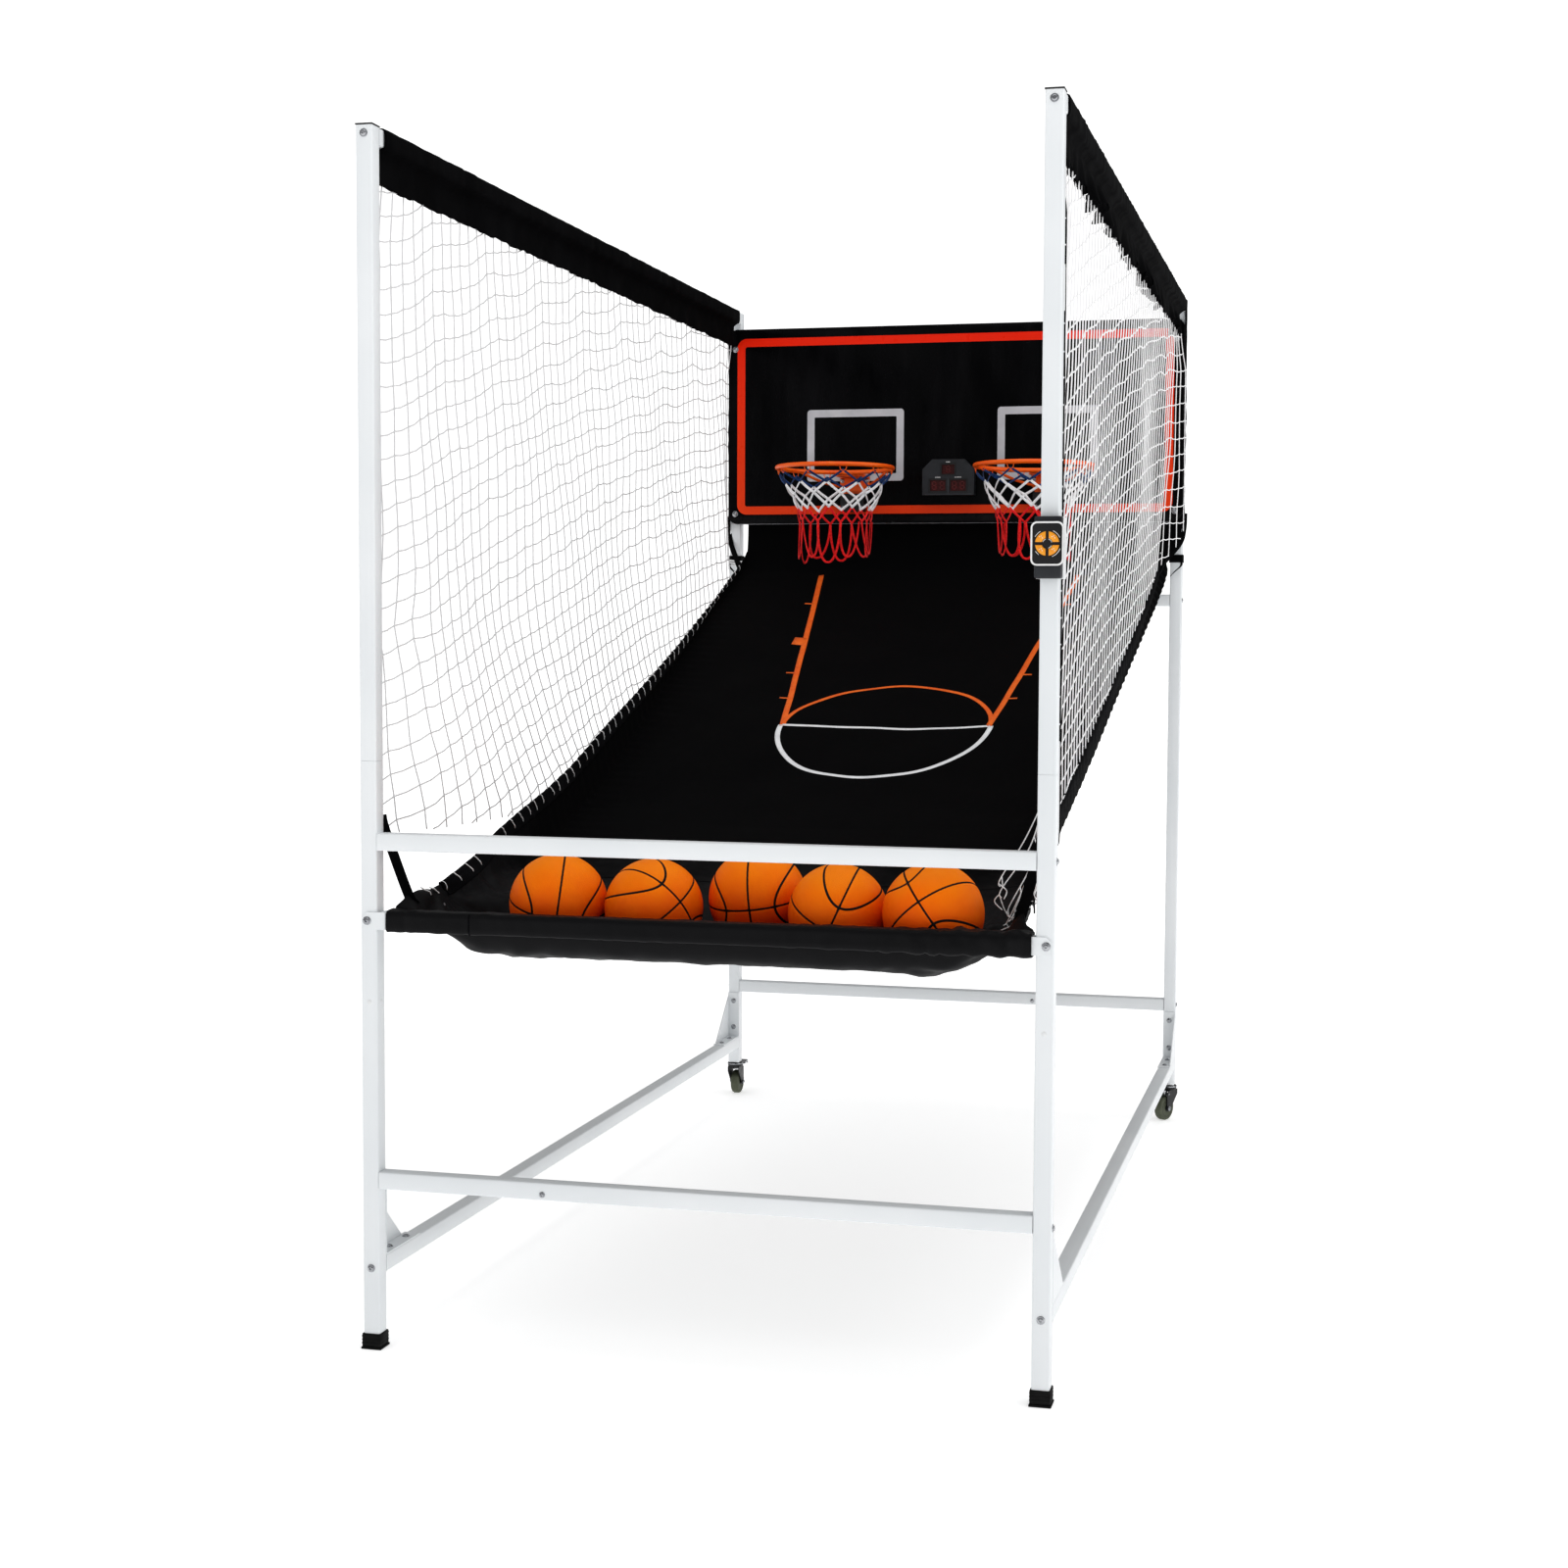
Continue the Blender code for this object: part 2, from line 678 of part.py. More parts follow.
def quadrant(grow, turn):
    """A quarter-ring button outline, or its hole when grown."""
    outer, inner, half_gap = 0.0195 + grow, 0.0088 - grow, 0.0024 - grow
    wide = math.degrees(math.asin(half_gap / outer))
    tight = math.degrees(math.asin(half_gap / inner))
    loop = arc((0, 0), outer, turn + wide, turn + 90 - wide, 6)
    return loop + arc((0, 0), inner, turn + 90 - tight, turn + tight, 4)


def control_panel():
    x = POST_X
    half_width, half_height, wall, back = 0.0220, 0.0495, 0.0018, 0.0045
    housing = box(
        "control_housing",
        (x - half_width, HOUSING_FRONT, CLAMP_Z - half_height),
        (x + half_width, FRONT - GAP, CLAMP_Z + half_height),
        GREY_PLASTIC,
    )
    bevel(housing, 0.003, 3)
    hollow = box(
        "control_hollow",
        (x - half_width + wall, HOUSING_FRONT - 0.01, PANEL_Z - 0.031),
        (x + half_width - wall, FRONT - back, PANEL_Z + 0.031),
        None,
    )
    combine(housing, hollow, "DIFFERENCE")
    face_y = FACE_FRONT + FACE_THICKNESS / 2
    holes = [quadrant(0.0004, turn) for turn in (0, 90, 180, 270)]
    outline = rounded_rectangle(0.0530, 0.0700, 0.010, 5)
    face = [outline] + holes
    plate("control_faceplate", face, FACE_THICKNESS, ACROSS, (x, face_y, PANEL_Z), BLACK_PLASTIC)
    board = [rounded_rectangle(0.037, 0.058, 0.002, 1)]
    board_y = FRONT - back - GAP - 0.00075
    plate("control_circuit_board", board, 0.0015, ACROSS, (x, board_y, PANEL_Z), CIRCUIT_GREEN)
    buttons = (("upper_right", 0), ("upper_left", 90), ("lower_left", 180), ("lower_right", 270))
    proud, tail = 0.0020, 0.0090
    for name, turn in buttons:
        middle = (FRONT - tail + FACE_FRONT - proud) / 2
        length = (FRONT - tail) - (FACE_FRONT - proud)
        centre = (x, middle, PANEL_Z)
        plate("control_button_" + name, [quadrant(0, turn)], length, ACROSS, centre, BUTTON_ORANGE)
    clamp_loop = [(-half_width, GAP), (-half_width, 0.0365), (half_width, 0.0365), (half_width, GAP)]
    inner = TUBE / 2 + GAP
    clamp_loop += [(inner, GAP), (inner, TUBE + GAP), (-inner, TUBE + GAP), (-inner, GAP)]
    plate("control_clamp", [clamp_loop], 2 * half_height, FLAT, (x, FRONT, CLAMP_Z), WHITE_PLASTIC)


# Soft parts

# The middle of the ramp in side view: distance behind the frame's front, and height
RAIL_BACK = TUBE - RAIL_SINK
WRAP = 0.0018
POCKET = [(0.0370, 0.7720), (0.0440, 0.7350), (0.0640, 0.7060), (0.1000, 0.6950), (0.1600, 0.6930)]
POCKET += [(0.2200, 0.7020), (0.2800, 0.7300), (0.3600, 0.7700)]
SLOPE = [(0.60, 0.833), (1.00, 0.955), (1.40, 1.112), (1.80, 1.275), (2.15, 1.412), (2.235, 1.455)]
BACK_FLAP = [(2.2635, 1.520), (2.2645, 1.640)]


def wrap_points():
    """The sleeve round the ball rail, from its hem behind the rail to its top."""
    low, high = BALL_RAIL_Z - TUBE / 2 - WRAP, BALL_RAIL_Z + TUBE / 2 + WRAP
    front, back = -RAIL_SINK - WRAP, RAIL_BACK + WRAP
    bottom = [Vector((back, low + 0.010)), Vector((back, low)), Vector((front, low))]
    return bottom + [Vector((front, high)), Vector((back - 0.003, high))]


def ramp_side_view():
    return wrap_points() + smooth_path(POCKET + SLOPE + BACK_FLAP, 2)


RAMP_SAG = 0.022

# The cloth's raised edges: distance behind the frame's front, half width and height
EDGES = [(0.036, 0.560, 0.782), (0.066, 0.550, 0.806), (0.150, 0.545, 0.803), (0.212, 0.540, 0.811)]
EDGES += [(0.273, 0.534, 0.826), (0.336, 0.530, 0.847), (0.423, 0.528, 0.881), (0.540, 0.527, 0.912)]
EDGES += [(0.680, 0.527, 0.944), (0.820, 0.528, 0.982), (0.940, 0.5315, 1.020), (1.080, 0.5355, 1.066)]
EDGES += [(1.260, 0.539, 1.121), (1.420, 0.542, 1.173), (1.600, 0.5475, 1.231), (1.760, 0.5535, 1.286)]
EDGES += [(1.960, 0.559, 1.356), (2.120, 0.560, 1.418), (2.200, 0.560, 1.452), (2.245, 0.560, 1.480)]


def edge_at(distance):
    """Half width and height of the cloth's raised edge at a distance behind the frame's front."""
    for near, far in zip(EDGES, EDGES[1:]):
        if distance <= far[0]:
            part = share(distance, near[0], far[0])
            return tuple(a + part * (b - a) for a, b in zip(near[1:], far[1:]))
    return EDGES[-1][1:]


def share(value, start, end):
    """0 before start, 1 after end and even between them; start may be the larger."""
    return min(1.0, max(0.0, (value - start) / (end - start)))


def ramp_lift(distance, height, across):
    """How far the cloth stands above its middle line, across being 1 at the edge: raised edges and sag."""
    if distance < 0.036 or height > 1.50:
        return 0.0
    slack = share(distance, 0.036, 0.116) * max(0.0, 1 - distance / 0.6)
    pocket_rise = 0.050 * across**4 * slack
    wall = (edge_at(distance)[1] - height - 0.050 * slack) * share(abs(across), 0.94, 1.0)
    sag = RAMP_SAG * (1 - across**2) * share(distance, 0.40, 0.80) * share(distance, 2.235, 1.85)
    return wall + pocket_rise - sag


RAMP_STATIONS = (-1.0, -0.97, -0.94, -0.8, -0.6, -0.3, 0.0, 0.3, 0.6, 0.8, 0.94, 0.97, 1.0)


def ramp_fabric():
    """One sheet of cloth: sleeve round the ball rail, ball pocket, ramp and back flap."""
    mesh = bpy.data.meshes.new("ramp_fabric")
    shape = bmesh.new()
    rows = []
    for distance, height in ramp_side_view():
        row = []
        for station in RAMP_STATIONS:
            lifted = height + ramp_lift(distance, height, station)
            row.append(shape.verts.new((station * edge_at(distance)[0], FRONT + distance, lifted)))
        rows.append(row)
    for lower, upper in zip(rows, rows[1:]):
        for i in range(len(lower) - 1):
            shape.faces.new((lower[i], lower[i + 1], upper[i + 1], upper[i]))
    shape.to_mesh(mesh)
    shape.free()
    obj = add_object("ramp_fabric", mesh, BLACK_FABRIC)
    thicken = obj.modifiers.new("cloth", "SOLIDIFY")
    thicken.thickness = RAMP_THICKNESS
    thicken.offset = 0
    return obj


def side_nets():
    """The outline of each side net, from its sleeve down to the ramp's edge."""
    top, front, back, sheet = 2.0360, 0.040, 2.2340, 0.004
    lower = [(distance, height - 0.015) for distance, half, height in EDGES if 0.3 < distance < 2.22]
    outline = [(front, top), (front, 0.935), (0.130, 0.800), (0.240, 0.795)]
    outline += lower + [(back, 1.500), (back, top)]
    for side, sign in (("left", -1), ("right", 1)):
        centre = (sign * (RAMP_HALF_WIDTH + 0.0065), FRONT, 0)
        plate("side_net_" + side, [[(d, z) for d, z in outline]], sheet, ALONG, centre, NET_WHITE)


def top_sleeves():
    """The fabric sleeve round each top rail, with its flap hanging below."""
    clear, cloth, flap, drop = 0.0006, 0.0016, 0.0020, 0.0590
    half = TUBE / 2 + clear
    out = half + cloth
    hole = [(-half, -half), (half, -half), (half, half), (-half, half)]
    loop = [(out, out), (-out, out), (-out, -out), (-flap, -out - 0.006), (-flap, -out - drop)]
    loop += [(flap, -out - drop), (flap, -out - 0.006), (out, -out)]
    start, end = FRONT + 0.045, FRONT + 2.232
    for side, sign in (("left", -1), ("right", 1)):
        centre = (sign * POST_X, (start + end) / 2, TOP_RAIL_Z)
        plate("top_sleeve_" + side, [loop, hole], end - start, ACROSS, centre, BLACK_FABRIC)


# Balls

# Across the machine and behind its front, from left to right
BALL_PLACES = ((-0.300, 0.150), (-0.1245, 0.158), (0.0490, 0.218), (0.2120, 0.152), (0.3850, 0.1235))


def rest_height(x, y, cloth):
    """The height at which a ball's middle comes to rest on the cloth."""
    low, high = 0.70, 1.00
    for _ in range(24):
        height = (low + high) / 2
        apart = cloth.find_nearest((x, y, height))[3]
        if apart < BALL_RADIUS + GAP:
            low = height
        else:
            high = height
    return high


def balls(ramp):
    bpy.context.view_layer.update()
    cloth = BVHTree.FromObject(ramp, bpy.context.evaluated_depsgraph_get())
    for number, (x, distance) in enumerate(BALL_PLACES, 1):
        mesh = bpy.data.meshes.new(f"basketball_{number}")
        shape = bmesh.new()
        bmesh.ops.create_uvsphere(shape, u_segments=20, v_segments=12, radius=BALL_RADIUS)
        shape.to_mesh(mesh)
        shape.free()
        ball = add_object(f"basketball_{number}", mesh, BALL_ORANGE)
        ball.data.shade_smooth()
        ball.location = (x, FRONT + distance, rest_height(x, FRONT + distance, cloth))


def build():
    front_posts()
    rear_posts()
    rails_and_bars()
    ball_rail()
    gussets()
    caster("left", -1, 0.0)
    caster("right", 1, math.radians(152))
    backboard()
    for side, x in (("left", -HOOP_X), ("right", HOOP_X)):
        rim(side, x)
        rim_bracket(side, x)
        score_sensor(side, x)
        hoop_net(side, x)
    scoreboard()
    control_panel()
    ramp = ramp_fabric()
    side_nets()
    top_sleeves()
    balls(ramp)


build()
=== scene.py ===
"""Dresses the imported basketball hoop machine: paint, cloth, nets, cords, prints and fittings.

Metres, +Z up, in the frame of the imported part: the players stand at -Y, +X is to their right.
"""

import json
import math

import bmesh
import bpy
import numpy as np
from mathutils import Matrix, Vector


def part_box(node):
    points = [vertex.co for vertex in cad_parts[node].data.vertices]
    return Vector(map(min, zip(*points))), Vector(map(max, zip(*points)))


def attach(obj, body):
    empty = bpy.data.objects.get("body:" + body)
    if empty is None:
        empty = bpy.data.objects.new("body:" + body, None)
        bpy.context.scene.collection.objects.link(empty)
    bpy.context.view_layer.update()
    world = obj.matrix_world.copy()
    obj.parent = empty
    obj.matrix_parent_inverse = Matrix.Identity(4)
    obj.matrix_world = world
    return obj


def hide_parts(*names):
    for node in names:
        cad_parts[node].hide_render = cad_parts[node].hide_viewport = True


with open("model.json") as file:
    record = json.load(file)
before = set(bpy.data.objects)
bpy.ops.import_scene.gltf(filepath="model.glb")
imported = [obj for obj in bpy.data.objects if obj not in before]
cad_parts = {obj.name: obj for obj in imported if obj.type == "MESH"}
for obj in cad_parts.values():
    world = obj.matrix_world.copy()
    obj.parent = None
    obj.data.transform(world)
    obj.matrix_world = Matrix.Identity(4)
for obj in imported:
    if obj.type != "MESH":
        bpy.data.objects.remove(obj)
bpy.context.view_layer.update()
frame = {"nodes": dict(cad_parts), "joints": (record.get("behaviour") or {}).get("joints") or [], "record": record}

NODES = frame["nodes"]
SIDES = (("left", -1), ("right", 1))


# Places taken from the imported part


def middle(node):
    low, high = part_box(node)
    return (low + high) / 2


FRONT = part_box("front_post_upper_left")[0].y
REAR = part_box("rear_post_left")[1].y
POST_X = middle("front_post_upper_right").x
FRONT_POST_Y = middle("front_post_upper_right").y
REAR_POST_Y = middle("rear_post_right").y
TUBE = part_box("front_crossbar")[1].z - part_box("front_crossbar")[0].z
BALL_RAIL_Z = middle("ball_rail").z
TOP_RAIL_Z = middle("top_rail_left").z
BOARD_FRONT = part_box("backboard")[0].y
RIM_PLACES = {side: middle("hoop_net_" + side) for side, _ in SIDES}
RIM_Z = 1.693
RIM_RADIUS = 0.148
BALL_RADIUS = (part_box("basketball_1")[1].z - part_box("basketball_1")[0].z) / 2


# Camera, light and floor


# Camera: yaw, pitch and roll in degrees, place, focal length and shift
CAMERA_TURN = (13.43, 3.39, 0.35)
CAMERA_PLACE = (1.114, FRONT - 3.552, 1.261)
CAMERA_LENS, CAMERA_SHIFT = 50.96, (-0.0415, -0.0101)
# Lights: name, place, target, width of the square and power
LIGHTS = (
    ("overhead", (0.3, -0.9, 4.6), (0, 0, 0), 3.5, 34),
    ("key", (-2.6, -5.2, 3.6), (0, 0, 1.0), 2.5, 9),
    ("fill", (4.4, -3.0, 2.6), (0, 0, 1.2), 2.5, 14),
    ("side", (5.5, 0.6, 3.0), (0, 0, 0.6), 3.0, 34),
)
WORLD_LIGHT, WORLD_REFLECTED = 0.49, 0.26


def make_camera():
    yaw, pitch, roll = (math.radians(angle) for angle in CAMERA_TURN)
    forward = Vector((-math.sin(yaw) * math.cos(pitch), math.cos(yaw) * math.cos(pitch), -math.sin(pitch)))
    level = Vector((math.cos(yaw), math.sin(yaw), 0))
    upward = level.cross(forward)
    right = math.cos(roll) * level + math.sin(roll) * upward
    up = math.cos(roll) * upward - math.sin(roll) * level
    data = bpy.data.cameras.new("camera")
    data.sensor_width, data.lens = 36, CAMERA_LENS
    data.shift_x, data.shift_y = CAMERA_SHIFT
    data.clip_end = 200
    camera = bpy.data.objects.new("camera", data)
    bpy.context.scene.collection.objects.link(camera)
    camera.matrix_world = Matrix((right, up, -forward)).transposed().to_4x4()
    camera.location = CAMERA_PLACE
    bpy.context.scene.camera = camera


def make_world():
    """White to the eye, a little dimmer as light, and dimmer again in reflections."""
    world = bpy.data.worlds.new("studio")
    bpy.context.scene.world = world
    world.use_nodes = True
    tree = world.node_tree
    background = tree.nodes["Background"]
    path = tree.nodes.new("ShaderNodeLightPath")
    reflected = tree.nodes.new("ShaderNodeMix")
    reflected.inputs["A"].default_value = WORLD_LIGHT
    reflected.inputs["B"].default_value = WORLD_REFLECTED
    tree.links.new(path.outputs["Is Glossy Ray"], reflected.inputs["Factor"])
    seen = tree.nodes.new("ShaderNodeMix")
    seen.inputs["B"].default_value = 1.0
    tree.links.new(path.outputs["Is Camera Ray"], seen.inputs["Factor"])
    tree.links.new(reflected.outputs["Result"], seen.inputs["A"])
    background.inputs["Color"].default_value = (1.0, 1.0, 1.0, 1.0)
    tree.links.new(seen.outputs["Result"], background.inputs["Strength"])


def add_light(name, place, target, size, power):
    data = bpy.data.lights.new(name, "AREA")
    data.shape = "RECTANGLE"
    data.size = data.size_y = size
    data.energy = power
    light = bpy.data.objects.new(name, data)
    bpy.context.scene.collection.objects.link(light)
    light.location = place
    light.rotation_euler = (Vector(target) - Vector(place)).to_track_quat("-Z", "Y").to_euler()


def make_studio():
    make_world()
    for light in LIGHTS:
        add_light(*light)
    bpy.ops.mesh.primitive_plane_add(size=120, location=(0, 0, 0))
    floor = bpy.context.active_object
    floor.name = "floor"
    white = Finish("floor_white", (0.93, 0.93, 0.93), 0.9)
    white.set("Specular IOR Level", 0.1)
    far = white.add("VectorMath", {0: white.place}, operation="LENGTH").outputs["Value"]
    white.set("Emission Color", (1.0, 1.0, 1.0, 1.0))
    white.set("Emission Strength", white.spread(far, 0.40, 0.62, 1.2, 5.0))
    floor.data.materials.append(white.material)
    bpy.context.scene.view_settings.view_transform = "Standard"
    bpy.context.scene.view_settings.look = "Medium High Contrast"


# Materials


class Finish:
    """A Principled material, and shorthand for the nodes that give it detail."""

    def __init__(self, name, colour, roughness=0.5, metallic=0.0):
        self.material = bpy.data.materials.new(name)
        self.material.use_nodes = True
        self.tree = self.material.node_tree
        self.shader = self.tree.nodes["Principled BSDF"]
        self.set("Base Color", (*colour, 1.0))
        self.set("Roughness", roughness)
        self.set("Metallic", metallic)
        self.place = self.add("TexCoord").outputs["Object"]
        self.normal = None

    def set(self, name, value):
        self.fill(self.shader.inputs[name], value)

    def fill(self, socket, value):
        if isinstance(value, bpy.types.NodeSocket):
            self.tree.links.new(value, socket)
        else:
            socket.default_value = value

    def add(self, kind, inputs=None, **settings):
        node = self.tree.nodes.new("ShaderNode" + kind)
        for name, value in settings.items():
            setattr(node, name, value)
        for name, value in (inputs or {}).items():
            self.fill(node.inputs[name], value)
        return node

    def scaled(self, scale):
        return self.add("Mapping", {"Vector": self.place, "Scale": scale}).outputs["Vector"]

    def noise(self, scale, detail=3.0, stretch=(1, 1, 1)):
        inputs = {"Vector": self.scaled(stretch), "Scale": scale, "Detail": detail}
        return self.add("TexNoise", inputs).outputs["Fac"]

    def cells(self, scale):
        inputs = {"Vector": self.place, "Scale": scale, "Smoothness": 0.3}
        return self.add("TexVoronoi", inputs, feature="SMOOTH_F1").outputs["Distance"]

    def threads(self, scale, direction):
        inputs = {"Vector": self.place, "Scale": scale}
        return self.add("TexWave", inputs, bands_direction=direction).outputs["Fac"]

    def math(self, operation, first, second):
        return self.add("Math", {0: first, 1: second}, operation=operation).outputs["Value"]

    def spread(self, factor, low, high, start=0.3, end=0.7):
        inputs = {"Value": factor, "From Min": start, "From Max": end, "To Min": low, "To Max": high}
        return self.add("MapRange", inputs).outputs["Result"]

    def between(self, factor, first, second, start=0.3, end=0.7):
        """A colour that goes from first to second as factor goes from start to end."""
        ramp = self.add("ValToRGB", {"Fac": factor})
        for element, place, colour in zip(ramp.color_ramp.elements, (start, end), (first, second)):
            element.position = place
            element.color = (*colour, 1.0)
        return ramp.outputs["Color"]

    def bump(self, height, distance, strength=1.0):
        inputs = {"Height": height, "Distance": distance, "Strength": strength}
        if self.normal is not None:
            inputs["Normal"] = self.normal
        self.normal = self.add("Bump", inputs).outputs["Normal"]
        self.set("Normal", self.normal)


def plain(name, low, high, roughness, grain=(900, 0.00006), mottle=14, metallic=0.0):
    """A hard finish with a mottled colour, an uneven gloss and a fine grain."""
    made = Finish(name, low, roughness[0], metallic)
    patches = made.noise(mottle)
    made.set("Base Color", made.between(patches, low, high))
    made.set("Roughness", made.spread(made.noise(mottle * 3), *roughness))
    made.bump(made.noise(grain[0], 2.0), grain[1], 0.6)
    return made


def cloth(name, low, high, pitch):
    """A woven cloth: crossed threads, slow colour drift and a weak sheen."""
    made = Finish(name, low, 0.85)
    made.set("Specular IOR Level", 0.03)
    made.set("Sheen Weight", 0.012)
    made.set("Sheen Roughness", 0.5)
    made.set("Base Color", made.between(made.noise(9, 4.0), low, high))
    made.set("Roughness", made.spread(made.noise(25), 0.75, 0.93))
    scale = math.pi / pitch / 20
    weave = made.math("MULTIPLY", made.threads(scale, "X"), made.threads(scale, "Y"))
    made.bump(weave, 0.00012, 0.5)
    made.bump(made.noise(60, 4.0), 0.0006, 0.35)
    return made


def cord_finish(name, low, high, pitch=0.004):
    """Braided cord: slanting strands and fuzzy colour."""
    made = Finish(name, low, 0.8)
    made.set("Sheen Weight", 0.15)
    made.set("Specular IOR Level", 0.25)
    made.set("Base Color", made.between(made.noise(220, 3.0), low, high, 0.35, 0.6))
    made.set("Roughness", made.spread(made.noise(90), 0.68, 0.9))
    made.bump(made.threads(1 / pitch / 3, "DIAGONAL"), 0.0005, 0.7)
    return made


def net_finish(name, heights, low, high, slant=0.0):
    """Thin cord whose grey is painted shade: it goes from low to high up the net, so that one net reads evenly in
    the light from above and the other's upper part is painted darker.
    """
    made = cord_finish(name, (high, high, high), (high, high, high), 0.002)
    place = made.add("SeparateXYZ", {"Vector": made.place})
    level = made.math("SUBTRACT", place.outputs["Z"], made.math("MULTIPLY", place.outputs["Y"], slant))
    level = made.math("ADD", level, made.spread(made.noise(60), -0.04, 0.04))
    # Painted shade: the cord's grey changes with height on the net.
    made.set("Base Color", made.between(level, (low, low, low * 1.01), (high, high, high * 1.01), *heights))
    return made


def board_finish():
    """The backboard's black laminate, streaked and a little glossy."""
    made = Finish("board_black", (0.0016, 0.0016, 0.0022), 0.22)
    made.set("Specular IOR Level", 0.10)
    streaks = made.noise(16, 5.0, (1.0, 1.0, 0.22))
    dark, light = (0.0012, 0.0012, 0.0018), (0.0050, 0.0048, 0.0058)
    made.set("Base Color", made.between(streaks, dark, light, 0.4, 0.75))
    made.set("Roughness", made.spread(made.noise(30, 4.0, (1, 1, 0.3)), 0.14, 0.34))
    made.bump(made.noise(140, 3.0, (1, 1, 0.4)), 0.0004, 0.5)
    return made


def border_finish():
    """The red of the backboard's border, more orange towards the bottom."""
    low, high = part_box("backboard")
    made = Finish("print_red", (0.60, 0.03, 0.012), 0.32)
    made.set("Specular IOR Level", 0.15)
    height = made.add("SeparateXYZ", {"Vector": made.place}).outputs["Z"]
    drift = made.math("ADD", height, made.spread(made.noise(25), -0.02, 0.02))
    level = made.spread(drift, 0, 1, low.z, high.z)
    made.set("Base Color", made.between(level, (0.80, 0.062, 0.010), (0.80, 0.024, 0.004), 0.1, 0.95))
    made.set("Roughness", made.spread(made.noise(40), 0.25, 0.4))
    made.bump(made.noise(500), 0.00005, 0.4)
    return made


# Hard finishes: name, two colours, range of roughness, scale and depth of grain, scale of mottling, metallic
HARD = (
    ("white_paint", (0.78, 0.81, 0.83), (0.86, 0.88, 0.895), (0.30, 0.44), (700, 0.00008), 3),
    ("black_rubber", (0.004, 0.004, 0.004), (0.010, 0.010, 0.010), (0.6, 0.8)),
    ("black_plastic", (0.004, 0.004, 0.005), (0.010, 0.010, 0.012), (0.3, 0.5)),
    ("grey_plastic", (0.015, 0.017, 0.021), (0.021, 0.024, 0.030), (0.45, 0.6), (1400, 0.00015)),
    ("grey_light", (0.05, 0.055, 0.065), (0.07, 0.075, 0.085), (0.45, 0.6), (1200, 0.0001), 40),
    ("white_plastic", (0.74, 0.75, 0.76), (0.82, 0.83, 0.84), (0.4, 0.55), (1200, 0.0001)),
    ("print_grey", (0.46, 0.46, 0.49), (0.56, 0.56, 0.59), (0.3, 0.45), (500, 0.00005), 20),
    ("print_white", (0.78, 0.78, 0.78), (0.86, 0.86, 0.86), (0.35, 0.5), (900, 0.00004), 80),
    ("lane_orange", (0.84, 0.125, 0.006), (0.96, 0.19, 0.012), (0.55, 0.75), (400, 0.0001), 26),
    ("lane_white", (0.80, 0.81, 0.83), (0.92, 0.93, 0.94), (0.55, 0.75), (400, 0.0001), 26),
    ("rim_orange", (0.92, 0.105, 0.002), (0.98, 0.170, 0.004), (0.26, 0.40), (400, 0.00006), 18),
    ("button_orange", (0.84, 0.30, 0.015), (0.94, 0.42, 0.03), (0.3, 0.42), (900, 0.00005), 150),
    ("face_gloss", (0.003, 0.003, 0.004), (0.006, 0.006, 0.008), (0.12, 0.22), (300, 0.00003), 60),
    ("display_red", (0.040, 0.0012, 0.0012), (0.060, 0.002, 0.002), (0.10, 0.20), (300, 0.00003), 60),
    ("display_bars", (0.105, 0.003, 0.003), (0.135, 0.004, 0.004), (0.25, 0.35), (300, 0.00003), 60),
    ("circuit_green", (0.01, 0.10, 0.035), (0.02, 0.17, 0.06), (0.35, 0.5), (600, 0.0001), 120),
    ("steel", (0.34, 0.35, 0.37), (0.52, 0.53, 0.55), (0.20, 0.34), (700, 0.00004), 60, 1.0),
    ("tread", (0.075, 0.085, 0.055), (0.115, 0.125, 0.085), (0.6, 0.75), (500, 0.0002), 40),
)
# Woven finishes: name, two colours and the pitch of the threads
WOVEN = (
    ("black_fabric", (0.0016, 0.0016, 0.0020), (0.0042, 0.0042, 0.0050), 0.0018),
    ("hem_fabric", (0.0050, 0.0050, 0.0058), (0.0090, 0.0090, 0.0102), 0.0022),
    ("webbing", (0.003, 0.003, 0.0035), (0.007, 0.007, 0.008), 0.0015),
)
# Cord finishes: name, two colours and the pitch of the braid
BRAIDED = (
    ("net_white", (0.78, 0.79, 0.80), (0.92, 0.92, 0.92), 0.002),
    ("hoop_white", (0.80, 0.80, 0.83), (0.94, 0.94, 0.95)),
    ("hoop_red", (0.66, 0.008, 0.010), (0.92, 0.020, 0.022)),
    ("hoop_blue", (0.003, 0.018, 0.070), (0.008, 0.055, 0.20)),
)
# Side net finishes, greys of painted shade: name, heights between which the grey changes, lower and upper grey,
# slant of the change
NETS = (("net_far", (0.95, 1.75), 0.66, 0.74), ("net_near", (1.78, 1.86), 0.94, 0.36, 0.1455))


def make_finishes():
    """Every material, by name."""
    made = {
        "board_black": board_finish(),
        "print_red": border_finish(),
        "ball_orange": ball_finish(),
        "ramp_black": ramp_finish(),
    }
    for make, rows in ((plain, HARD), (cloth, WOVEN), (cord_finish, BRAIDED), (net_finish, NETS)):
        for row in rows:
            made[row[0]] = make(*row)
    made["black_rubber"].set("Specular IOR Level", 0.25)
    return made


def ball_finish():
    """Pebbled rubber with painted shade: a painted lit orange on top, deepening to a painted shaded red on its
    underside.
    """
    made = Finish("ball_orange", (0.80, 0.12, 0.001), 0.5)
    made.set("Specular IOR Level", 0.12)
    # Painted shade: the base colour follows which way the surface faces, orange where it faces up and deep red
    # where it faces down, as light from above falls.
    facing_up = made.add("SeparateXYZ", {"Vector": made.add("NewGeometry").outputs["Normal"]}).outputs["Z"]
    lit = made.spread(facing_up, 0.0, 1.0, -0.75, 0.85)
    level = made.math("ADD", lit, made.spread(made.noise(14, 4.0), -0.10, 0.10))
    made.set("Base Color", made.between(level, (0.92, 0.042, 0.001), (1.0, 0.265, 0.0015), 0.02, 0.98))
    made.set("Roughness", made.spread(made.noise(50), 0.42, 0.58))
    made.bump(made.spread(made.cells(520), 1.0, 0.0, 0.0, 0.6), 0.0005, 0.65)
    return made


